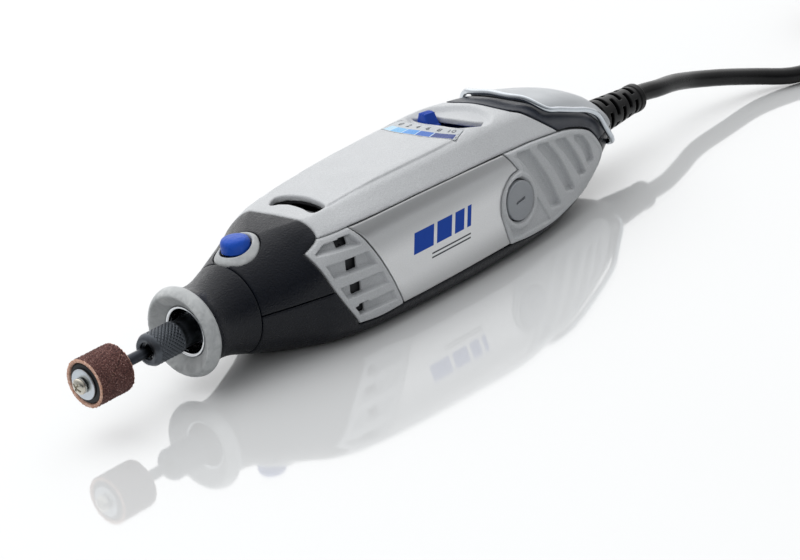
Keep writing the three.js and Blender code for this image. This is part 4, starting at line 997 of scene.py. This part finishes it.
# collet nut, knurled between the chamfer and the waist
xs = np.concatenate([np.arange(-10.35, -1.6, 0.14)])
prof = [(2.55, -7.6), (2.55, -11.6), (2.7, -11.95), (3.7, -12.0), (3.95, -11.9), (4.62, -10.85), (4.72, -10.6), *[(4.74, a) for a in xs], (4.72, -1.4), (4.55, -0.9), (4.3, -0.5), (4.2, 0.4), (4.2, 7.9), (4.05, 8.15), (3.8, 8.15), (3.75, 7.9), (3.75, -5.4), (3.7, -7.2)]


def knurl(R, A, TH):
    k = 22.0
    a = k * TH / (2 * np.pi) + (A + 10) / 1.32
    b = k * TH / (2 * np.pi) - (A + 10) / 1.32
    t = lambda v: np.abs((v % 1.0) - 0.5) * 2
    g = np.minimum(t(a), t(b))
    on = ((A > -10.4) & (A < -1.65) & (R > 4.7)).astype(float)
    return -0.26 * on * (1 - sm(g / 0.5)) * sm((A + 10.4) / 0.5) * sm((-1.65 - A) / 0.5)


turned("knurled_nut", prof, "nut", "collet_nut", "nut_black", ["collet_nut"], seg=264, closed=True, push=knurl)

# drum: shank, rubber, band, washer, screw
turned(
    "drum_shank",
    rounded([(0, -35.4), (1.45, -35.4), (1.45, -22.8), (1.6, -22.4), (2.5, -22.3), (2.5, -21.3), (1.6, -21.1), (1.6, 12.6), (1.2, 13.0), (0, 13.0)], 0.15),
    "shank", "accessory", "nut_black", ["mandrel"], seg=48,
)
turned(
    "drum_rubber",
    rounded([(1.9, -34.15), (5.55, -34.15), (5.95, -33.7), (5.95, -22.75), (1.9, -22.75)], 0.3, closed=True),
    "rubber", "accessory", "rubber_black", ["rubber_drum"], seg=96, closed=True,
)
rng = np.random.default_rng(7)
SEG = 300
AX = np.arange(-34.35, -22.74, 0.11)
wob = rng.normal(size=(len(AX) + 40, SEG))
for _ in range(1):
    wob = (wob + np.roll(wob, 1, 1) + np.roll(wob, -1, 1)) / 1.9
    wob = (wob + np.roll(wob, 1, 0) + np.roll(wob, -1, 0)) / 1.9


def grit(R, A, TH):
    i = np.clip(((A + 34.4) / (AX[1] - AX[0])).astype(int), 0, len(wob) - 1)
    j = (np.arange(R.shape[1]))[None, :] % SEG
    w = np.clip(wob[i, j], -1.6, 2.0)
    seam = np.exp(-(((((TH + (A + 28.5) * 0.095 * 1.0) - 2.75 + np.pi) % (2 * np.pi)) - np.pi) / 0.05) ** 2)
    return np.where(R > 6.8, 0.10 * w - 0.14 * seam, 0.0)


prof = [(5.98, -22.75), (5.98, -34.3), (6.05, -34.42), (6.5, -34.42), *[(6.93, a) for a in AX], (6.5, -22.7), (6.05, -22.7)]
V, F = lathe_mesh(prof, seg=SEG, closed=True, push=grit)
mesh_obj("abrasive_sleeve", V, F, "grit", "sanding_band", ["sanding_band"])
turned(
    "drum_disc",
    rounded([(1.85, -35.05), (4.2, -35.05), (4.4, -34.9), (4.4, -34.45), (1.85, -34.45)], 0.12, closed=True),
    "washer", "accessory", "bright_chrome", ["drum_washer"], seg=96, closed=True,
)


def f_tip(x, y, z):
    r = np.sqrt(y * y + z * z)
    dome = np.sqrt((x + 33.6) ** 2 + r * r) - 3.75
    out = rI(rI(dome, r - 2.3, 0.35), x + 35.4, 0.2)
    ca, sa = math.cos(0.9), math.sin(0.9)
    yy, zz = y * ca - z * sa, y * sa + z * ca
    cross = np.minimum(np.maximum(np.abs(yy) - 0.32, np.abs(zz) - 1.5), np.maximum(np.abs(zz) - 0.32, np.abs(yy) - 1.5))
    return rS(out, np.maximum(cross, x + 36.5), 0.12)


P, Q = nets(f_tip, (-37.7, -2.6, -2.6), (-35.2, 2.6, 2.6), 0.11)
mesh_obj("drum_tip_screw", P, Q, "screw_tip", "drum_screw", ["drum_screw"])

# button: a domed cap on its stem
turned(
    "button_cap",
    rounded([(0, 5.65), (1.45, 5.65), (1.45, 8.25), (2.65, 8.25), (2.65, 15.25), (4.25, 15.25), (4.25, 17.9, 0.7), (3.75, 18.95, 0.8), (2.4, 19.5, 1.0), (0, 19.65)], 0.15),
    "blue", "lock_button", "button_blue", ["lock_button"], seg=72, axis="z", centre=(26.3, 0.0),
)


# speed switch: arc plate and finger lug
def f_lever(x, y, z):
    a = math.radians(17)
    dx, yy = x - SWITCH_X, y
    # turn to the lever's own direction
    u = dx * math.cos(a) - yy * math.sin(a)
    v = dx * math.sin(a) + yy * math.cos(a)
    # at rest the lug points to -x turned towards +y
    rad = np.sqrt(u * u + v * v)
    ang = np.degrees(np.arctan2(v, -u))
    plate = np.maximum(np.maximum(np.abs(rad - 28.2) - 3.7, np.maximum(-ang - 6.7, ang - 6.7) * 0.5), np.abs(z - 18.6) - 0.65)
    strip = rI(rI(np.abs(rad - 28.2) - 2.5, np.maximum(-7.8 - ang, ang - 5.0) * 0.5, 0.5), np.abs(z - 19.4) - 1.3, 0.4)
    plate = rU(plate, strip, 0.2)
    lug = rI(np.abs(rad - 28.2) - (2.35 - 0.10 * np.maximum(z - 20, 0)), np.abs(v) - (3.3 - 0.40 * np.maximum(z - 20.5, 0)), 0.5)
    lug = rI(rI(lug, z - 24.6 + 0.10 * np.abs(v + 1.0), 0.6), 18.4 - z, 0.1)
    ridge = 0.16 * np.cos(v * 2 * np.pi / 1.1) * (z > 24)
    return rU(plate, lug + ridge, 0.4)


P, Q = nets(f_lever, (113.5, -2.5, 17.6), (126.0, 15.5, 25.6), 0.2)
mesh_obj("switch_lug", P, Q, "blue_deep", "speed_switch", ["speed_switch_lever"])


# scale: a thin film in its seat
def f_scale(x, y, z):
    D = body(x, y, z)
    rad = np.sqrt((x - SWITCH_X) ** 2 + y * y)
    ang = np.degrees(np.arctan2(np.abs(y), SWITCH_X - x))
    sc = rI(np.abs(rad - 40.05) - 3.95, (ang - 20.2) * 0.7, 0.8)
    return np.maximum(np.maximum(rI(D + 0.12, sc, 0.08), -(D + 0.36)), 10 - z)


P, Q = nets(f_scale, (102, -16.2, 19), (113, 16.2, 25), 0.22)
mesh_obj("speed_film", P, Q, "scale", "housing", ["speed_scale"])
for i, txt in enumerate(("0", "2", "4", "6", "8", "10")):
    a = math.radians(15.3 - i * 6.1)
    r = 38.2
    px, py = SWITCH_X - r * math.cos(a), r * math.sin(a)
    cu = bpy.data.curves.new("digit_" + txt, "FONT")
    cu.body = txt
    cu.size = 3.0 * MM
    cu.extrude = 0.02 * MM
    cu.align_x, cu.align_y = "CENTER", "CENTER"
    ob = bpy.data.objects.new("digit_" + txt, cu)
    cu.materials.append(M["ink"])
    scene.collection.objects.link(ob)
    tilt = math.atan2(surf_z(px, py - 0.6) - surf_z(px, py + 0.6), 1.2)
    up = Vector((math.cos(a), -math.sin(a), 0))
    nrm = Vector((0, math.sin(tilt), math.cos(tilt)))
    right = up.cross(nrm).normalized()
    up = nrm.cross(right)
    m = Matrix((right, up, nrm)).transposed().to_4x4()
    p = W((px, py, surf_z(px, py) - 0.08))
    m.translation = Vector(p)
    ob.matrix_world = m
    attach(ob, "housing")


# ------------------------------------------------------------------ wire, relief, cord
def resample(pts, step):
    """Centripetal spline through the points, then even steps."""
    p = np.asarray(pts, float)
    p = np.vstack([2 * p[0] - p[1], p, 2 * p[-1] - p[-2]])
    out = []
    for i in range(1, len(p) - 2):
        p0, p1, p2, p3 = p[i - 1 : i + 3]
        t = np.cumsum([0, *[max(np.linalg.norm(b - a), 1e-6) ** 0.5 for a, b in ((p0, p1), (p1, p2), (p2, p3))]])
        for u in np.linspace(t[1], t[2], 24, endpoint=False):
            A1 = (t[1] - u) / (t[1] - t[0]) * p0 + (u - t[0]) / (t[1] - t[0]) * p1
            A2 = (t[2] - u) / (t[2] - t[1]) * p1 + (u - t[1]) / (t[2] - t[1]) * p2
            A3 = (t[3] - u) / (t[3] - t[2]) * p2 + (u - t[2]) / (t[3] - t[2]) * p3
            B1 = (t[2] - u) / (t[2] - t[0]) * A1 + (u - t[0]) / (t[2] - t[0]) * A2
            B2 = (t[3] - u) / (t[3] - t[1]) * A2 + (u - t[1]) / (t[3] - t[1]) * A3
            out.append((t[2] - u) / (t[2] - t[1]) * B1 + (u - t[1]) / (t[2] - t[1]) * B2)
    out = np.array([*out, p[-2]])
    s = np.concatenate([[0], np.cumsum(np.linalg.norm(np.diff(out, axis=0), axis=1))])
    n = max(2, int(round(s[-1] / step)) + 1)
    q = np.linspace(0, s[-1], n)
    return np.stack([np.interp(q, s, out[:, k]) for k in range(3)], 1)


def curve_obj(name, pts, radius, mat, body_name, repl=(), res=6, caps=True):
    cu = bpy.data.curves.new(name, "CURVE")
    cu.dimensions = "3D"
    sp = cu.splines.new("POLY")
    w = W(pts)
    sp.points.add(len(w) - 1)
    sp.points.foreach_set("co", np.concatenate([w, np.ones((len(w), 1))], 1).ravel())
    sp.use_smooth = True
    cu.bevel_depth = radius * MM
    cu.bevel_resolution = res
    cu.use_fill_caps = caps
    cu.materials.append(M[mat])
    ob = bpy.data.objects.new(name, cu)
    scene.collection.objects.link(ob)
    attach(ob, body_name)
    if repl:
        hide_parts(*repl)
    return ob


eye = surf_y(183.5, -4)
half = [
    (141.2, 0, surf_z(141.2, 0) + 1.7),
    (141.3, 6.5, surf_z(141.3, 6.5) + 1.7),
    (143.2, 11.5, surf_z(143.2, 11.5) + 1.7),
    (147.2, surf_y(147.2, 18.6) + 1.6, 19.4),
    (153, surf_y(153, 16.4) + 1.7, 17.4),
    (161, surf_y(161, 13.6) + 1.7, 14.6),
    (169, surf_y(169, 10.6) + 1.8, 11.8),
    (174.5, surf_y(174.5, 7.6) + 2.0, 8.4),
    (178.5, surf_y(178.5, 2.0) + 1.6, 2.6),
    (181.4, surf_y(181.4, -1.8) + 2.2, -1.8),
]
one = [(183.5, eye - 1.8, -4.0), (183.5, eye + 0.8, -4.0), (182.9, eye + 2.2, -3.4), *half[::-1]]
wire = one + [(a, -b, c) for a, b, c in one[:-1][::-1]]
curve_obj("hanger_wire", resample(wire, 0.8), 0.95, "wire", "hanger_bail", ["hanger_bail"])


def f_relief(x, y, z):
    r = np.sqrt(y * y + z * z)
    cone = 6.2 + (x - 190.6) * (4.7 - 6.2) / (211.4 - 190.6)
    R = np.where(x < 190.2, 5.35, np.where(x < 211.6, cone, 4.95))
    out = rI(r - R, 174.6 - x, 0.3)
    out = rI(out, x - 214.1, 0.4)
    flange = rI(r - 6.9, np.abs(x - 175.8) - 1.1, 0.3)
    out = np.minimum(out, flange)
    ang = np.degrees(np.arctan2(z, y)) + 31.0
    for k, gx in enumerate((193.6, 197.4, 201.2, 205.0, 208.8)):
        a = (ang + (45 if k % 2 else 0)) % 90 - 45
        cutg = np.maximum(np.maximum(np.abs(x - gx) - 0.75, R - 1.5 - r), (np.abs(a) - 31) * 0.09)
        out = rS(out, cutg, 0.3)
    return rS(out, np.maximum(r - 3.05, 208 - x), 0.3)


P, Q = nets(f_relief, (174, -7.4, -7.4), (214.8, 7.4, 7.4), 0.27)
relief = mesh_obj("cord_relief", P, Q, "relief", "housing", ["strain_relief"])

FLOOR = -H
HX, HY, RUN, R_IN, R_OUT, STEP = 371.0, -2.5, 62.0, 18.5, 24.6, 6.05
LEAD = [
    (211.0, 0.35, 0.35), (214.5, 0.3, 0.4), (219, 0.1, 0.3), (225.2, -0.7, -0.4), (236.8, 0.6, -2.1), (247.6, 1.5, -4.6), (262.8, -1.8, -8.0),
    (276.4, -6.1, -11.5), (287.6, -13.6, FLOOR + 3.3), (298.5, -18.6, FLOOR + 3.2), (311, -20.6, FLOOR + 3.25), (324, -21.0, FLOOR + 3.3),
    (336, -21.0, FLOOR + 3.35), (347.4, -21.0, FLOOR + 3.4), (359, -21.0, FLOOR + 3.4),
]
# the hank: four turns up the inner column, then two and a bit down the outer one, each as runs L and U and folds R and A
LAY = []
for k in range(4):
    up = min(k + 1, 3)
    LAY += [("L", 0, 0, k, k), ("R", 0, 0, k, k), ("U", 0, 0, k, up), ("A", 0, 1 if k == 3 else 0, up, up)]
for k in (3, 2):
    LAY += [("L", 1, 1, k, k), ("R", 1, 1, k, k), ("U", 1, 1, k, k - 1), ("A", 1, 1, k - 1, k - 1)]
LAY += [("L", 1, 1, 1, 0)]
hank = []
for kind, ra, rb, za, zb in LAY:
    ra, rb = (R_OUT if v else R_IN for v in (ra, rb))
    n = 9 if kind in "LU" else 11
    for t in np.arange(n) / n:
        e = float(sm(t))
        r, z = ra + (rb - ra) * e, FLOOR + 3.4 + STEP * (za + (zb - za) * e)
        if kind == "L":
            hank.append((HX + RUN * t, HY - r, z))
        elif kind == "U":
            hank.append((HX + RUN * (1 - t), HY + r, z))
        else:
            ph = math.pi * (t - 0.5) if kind == "R" else math.pi * (t + 0.5)
            hank.append((HX + (RUN if kind == "R" else 0) + r * math.cos(ph), HY + r * math.sin(ph), z))
TAIL = [
    (433, -27.0, FLOOR + 3.4), (441, -26.0, FLOOR + 3.6), (450, -23.0, FLOOR + 4.1), (460, -18.4, FLOOR + 5.1), (470, -14.8, FLOOR + 6.3),
    (477, -13.7, FLOOR + 6.9), (484.0, -13.5, FLOOR + 7.0),
]
PLUG_O = np.array([483.0, -13.5, FLOOR + 7.0])
T = np.array([1.0, 0.0])
path = resample([*LEAD, *hank, *TAIL], 3.4)
cord_mm = float(np.linalg.norm(np.diff(path, axis=0), axis=1).sum())
cordo = curve_obj("cord", path, 3.0, "cord", "housing", ["power_cord", "cord_coil"], res=6)


# tie: a flat strap round the middle of the hank with a small buckle
def f_tie(x, y, z):
    zz = z - FLOOR
    box = lambda lo, hi, r: box3(x, y, zz, lo, hi, r)
    outer = box((397.2, HY - 28.7, 0.02), (406.8, HY + 28.7, 25.6), 1.3)
    inner = box((390, HY - 27.75, 0.3), (414, HY + 27.75, 24.75), 0.9)
    buckle = box((396.6, HY - 14, 24.3), (407.4, HY - 5, 26.2), 0.7)
    return np.maximum(np.minimum(rS(outer, inner, 0.1), buckle), -inner)


P, Q = nets(f_tie, (395.5, HY - 30, FLOOR - 0.2), (408.5, HY + 30, FLOOR + 26.8), 0.36)
tie = mesh_obj("cord_strap", P, Q, "rubber", "housing", ["cord_tie"])

# plug
PLUG_OUT = Outline([(12.2, -5.0, 1), (17, -8.4), (24, -12.0), (32, -14.9), (40, -16.4), (45.8, -16.5, 1), (45.8, 16.5, 1), (40, 16.4), (32, 14.9), (24, 12.0), (17, 8.4), (12.2, 5.0, 1)], 5)


def plug_uv(x, y, z):
    dx, dy = x - PLUG_O[0], y - PLUG_O[1]
    return dx * T[0] + dy * T[1], -dx * T[1] + dy * T[0], z - PLUG_O[2]


def f_plug(x, y, z):
    u, v, w = plug_uv(x, y, z)
    g = PLUG_OUT(u, v)
    out = rI(g, np.abs(w) - 6.85, 2.2)
    for gu in (22, 25.5, 29, 32.5, 36):
        ridge = np.maximum(np.maximum(np.abs(u - gu) - 0.65, 6.1 - np.abs(w)), np.abs(v) - (0.42 * gu - 2.2))
        out = rS(out, ridge, 0.3)
    r = np.sqrt(v * v + w * w)
    neck = rI(r - (4.25 + 0.055 * u), np.maximum(0.1 - u, u - 13.5), 0.4)
    for gu in (2.6, 5.4, 8.2):
        neck = rS(neck, np.maximum(np.abs(u - gu) - 0.6, (3.55 + 0.055 * gu) - r), 0.25)
    return rU(out, neck, 1.0)


P, Q = nets(f_plug, (PLUG_O[0] - 0.4, PLUG_O[1] - 17.4, FLOOR - 0.2), (PLUG_O[0] + 46.6, PLUG_O[1] + 17.4, FLOOR + 14.6), 0.42)
plug = mesh_obj("plug_moulding", P, Q, "relief", "housing", ["plug_body"])
for s, sg in (("left", -1), ("right", 1)):
    V, F = lathe_mesh(rounded([(0, 45.6), (1.98, 45.6), (1.98, 64.2, 0.8), (1.2, 65.2, 0.6), (0, 65.3)], 0.2), seg=48)
    u, v, w = V[:, 0], V[:, 1] + sg * 9.3, V[:, 2]
    V = np.stack([PLUG_O[0] + u * T[0] - v * T[1], PLUG_O[1] + u * T[1] + v * T[0], w + PLUG_O[2]], 1)
    mesh_obj("contact_pin_" + s, V, F, "chrome", "housing", ["plug_pin_" + s])

print("cord", round(cord_mm, 1))


# ------------------------------------------------------------------ screws seen from below
def f_screw(x, y, z):
    r = np.sqrt(x * x + y * y)
    out = rI(r - 2.48, -10.55 - z, 0.35)
    out = rI(out, z + 8.35, 0.1)
    shaft = rI(r - 1.18, np.maximum(z - 8.5, -9.5 - z), 0.2)
    out = np.minimum(out, shaft)
    a = np.arctan2(y, x)
    star = r - (1.25 + 0.28 * np.cos(6 * a))
    return rS(out, np.maximum(star, z + 9.5), 0.08)


P, Q = nets(f_screw, (-2.8, -2.8, -10.8), (2.8, 2.8, 8.8), 0.2)
for s, sx, sy in (("front_left", 33, -11.5), ("front_right", 33, 11.5), ("rear_left", 143.5, -15.5), ("rear_right", 143.5, 15.5)):
    mesh_obj("case_screw_" + s, P + np.array([sx, sy, 0]), Q, "steel", "housing", ["housing_screw_" + s])

# ------------------------------------------------------------------ inner CAD nodes keep their shape and get a finish
FIN = {
    "spindle": "steel", "collet": "steel", "front_bearing": "steel", "rear_bearing": "steel", "armature_shaft": "steel",
    "drive_coupling": "rubber", "cooling_fan": "nylon", "armature_core": "lams", "armature_winding_front": "copper",
    "armature_winding_rear": "copper", "commutator": "segments", "field_core": "lams", "field_coil_left": "copper",
    "field_coil_right": "copper", "brush_holder_left": "brass", "brush_holder_right": "brass", "carbon_brush_left": "carbon",
    "carbon_brush_right": "carbon", "brush_spring_left": "steel", "brush_spring_right": "steel", "lock_spring": "steel",
    "switch_body": "blue_deep",
}
for n, k in FIN.items():
    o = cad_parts[n]
    o.data.materials.clear()
    o.data.materials.append(M[k])

# ------------------------------------------------------------------ floor, light
me = bpy.data.meshes.new("floor")
me.from_pydata([(-6, -6, -0.0001), (6, -6, -0.0001), (6, 6, -0.0001), (-6, 6, -0.0001)], [], [(0, 1, 2, 3)])
floor = bpy.data.objects.new("floor", me)
scene.collection.objects.link(floor)
fm = Nodes("floor_white")
fm.set(Specular_IOR_Level=0.5, IOR=2.5)
fm.color(fm.ramp(fm.noise(3, 2), [(0.3, (0.63, 0.64, 0.645)), (0.7, (0.65, 0.66, 0.665))]))
fm.rough(fm.map(fm.noise(6, 2), 0.045, 0.07, 0.3, 0.7))
me.materials.append(fm.mat)
floor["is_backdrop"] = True

world = bpy.data.worlds.new("studio")
scene.world = world
world.use_nodes = True
wt = world.node_tree
bg = wt.nodes["Background"]
# a pale room, brighter overhead and behind the object than on the viewer's side
wdir = wt.nodes.new("ShaderNodeTexCoord").outputs["Generated"]
dot = wt.nodes.new("ShaderNodeVectorMath")
dot.operation = "DOT_PRODUCT"
dot.inputs[1].default_value = (0.48, 0.50, 0.72)
wt.links.new(wdir, dot.inputs[0])
wr = wt.nodes.new("ShaderNodeValToRGB")
wr.color_ramp.elements[0].position, wr.color_ramp.elements[0].color = 0.12, (0.16, 0.165, 0.175, 1)
wr.color_ramp.elements[1].position, wr.color_ramp.elements[1].color = 0.62, (0.90, 0.91, 0.92, 1)
el = wr.color_ramp.elements.new(0.90)
el.color = (2.2, 2.2, 2.2, 1)
el = wr.color_ramp.elements.new(0.78)
el.color = (1.15, 1.15, 1.16, 1)
mr = wt.nodes.new("ShaderNodeMapRange")
mr.inputs["From Min"].default_value, mr.inputs["From Max"].default_value = -0.7, 1.0
wt.links.new(dot.outputs["Value"], mr.inputs["Value"])
wt.links.new(mr.outputs[0], wr.inputs[0])
wt.links.new(wr.outputs[0], bg.inputs[0])
bg.inputs[1].default_value = 0.66
scene.view_settings.view_transform = "Standard"
scene.view_settings.look = "None"


def area(name, loc, look, size, power, col=(1, 1, 1)):
    li = bpy.data.lights.new(name, "AREA")
    li.shape, li.size, li.size_y, li.energy, li.color = "RECTANGLE", size[0], size[1], power, col
    ob = bpy.data.objects.new(name, li)
    scene.collection.objects.link(ob)
    ob.location = loc
    ob.rotation_mode = "QUATERNION"
    ob.rotation_quaternion = (Vector(look) - Vector(loc)).to_track_quat("-Z", "Y")
    ob.visible_glossy = False  # the glossy floor shows the soft room, not the lamp's outline
    return ob


area("key", (-0.35, 0.35, 0.95), (0.0, 0, 0.02), (1.5, 1.1), 7.5)
area("fill", (-0.95, -0.55, 0.50), (0.0, 0, 0.02), (1.1, 0.7), 2.2)

lo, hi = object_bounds()
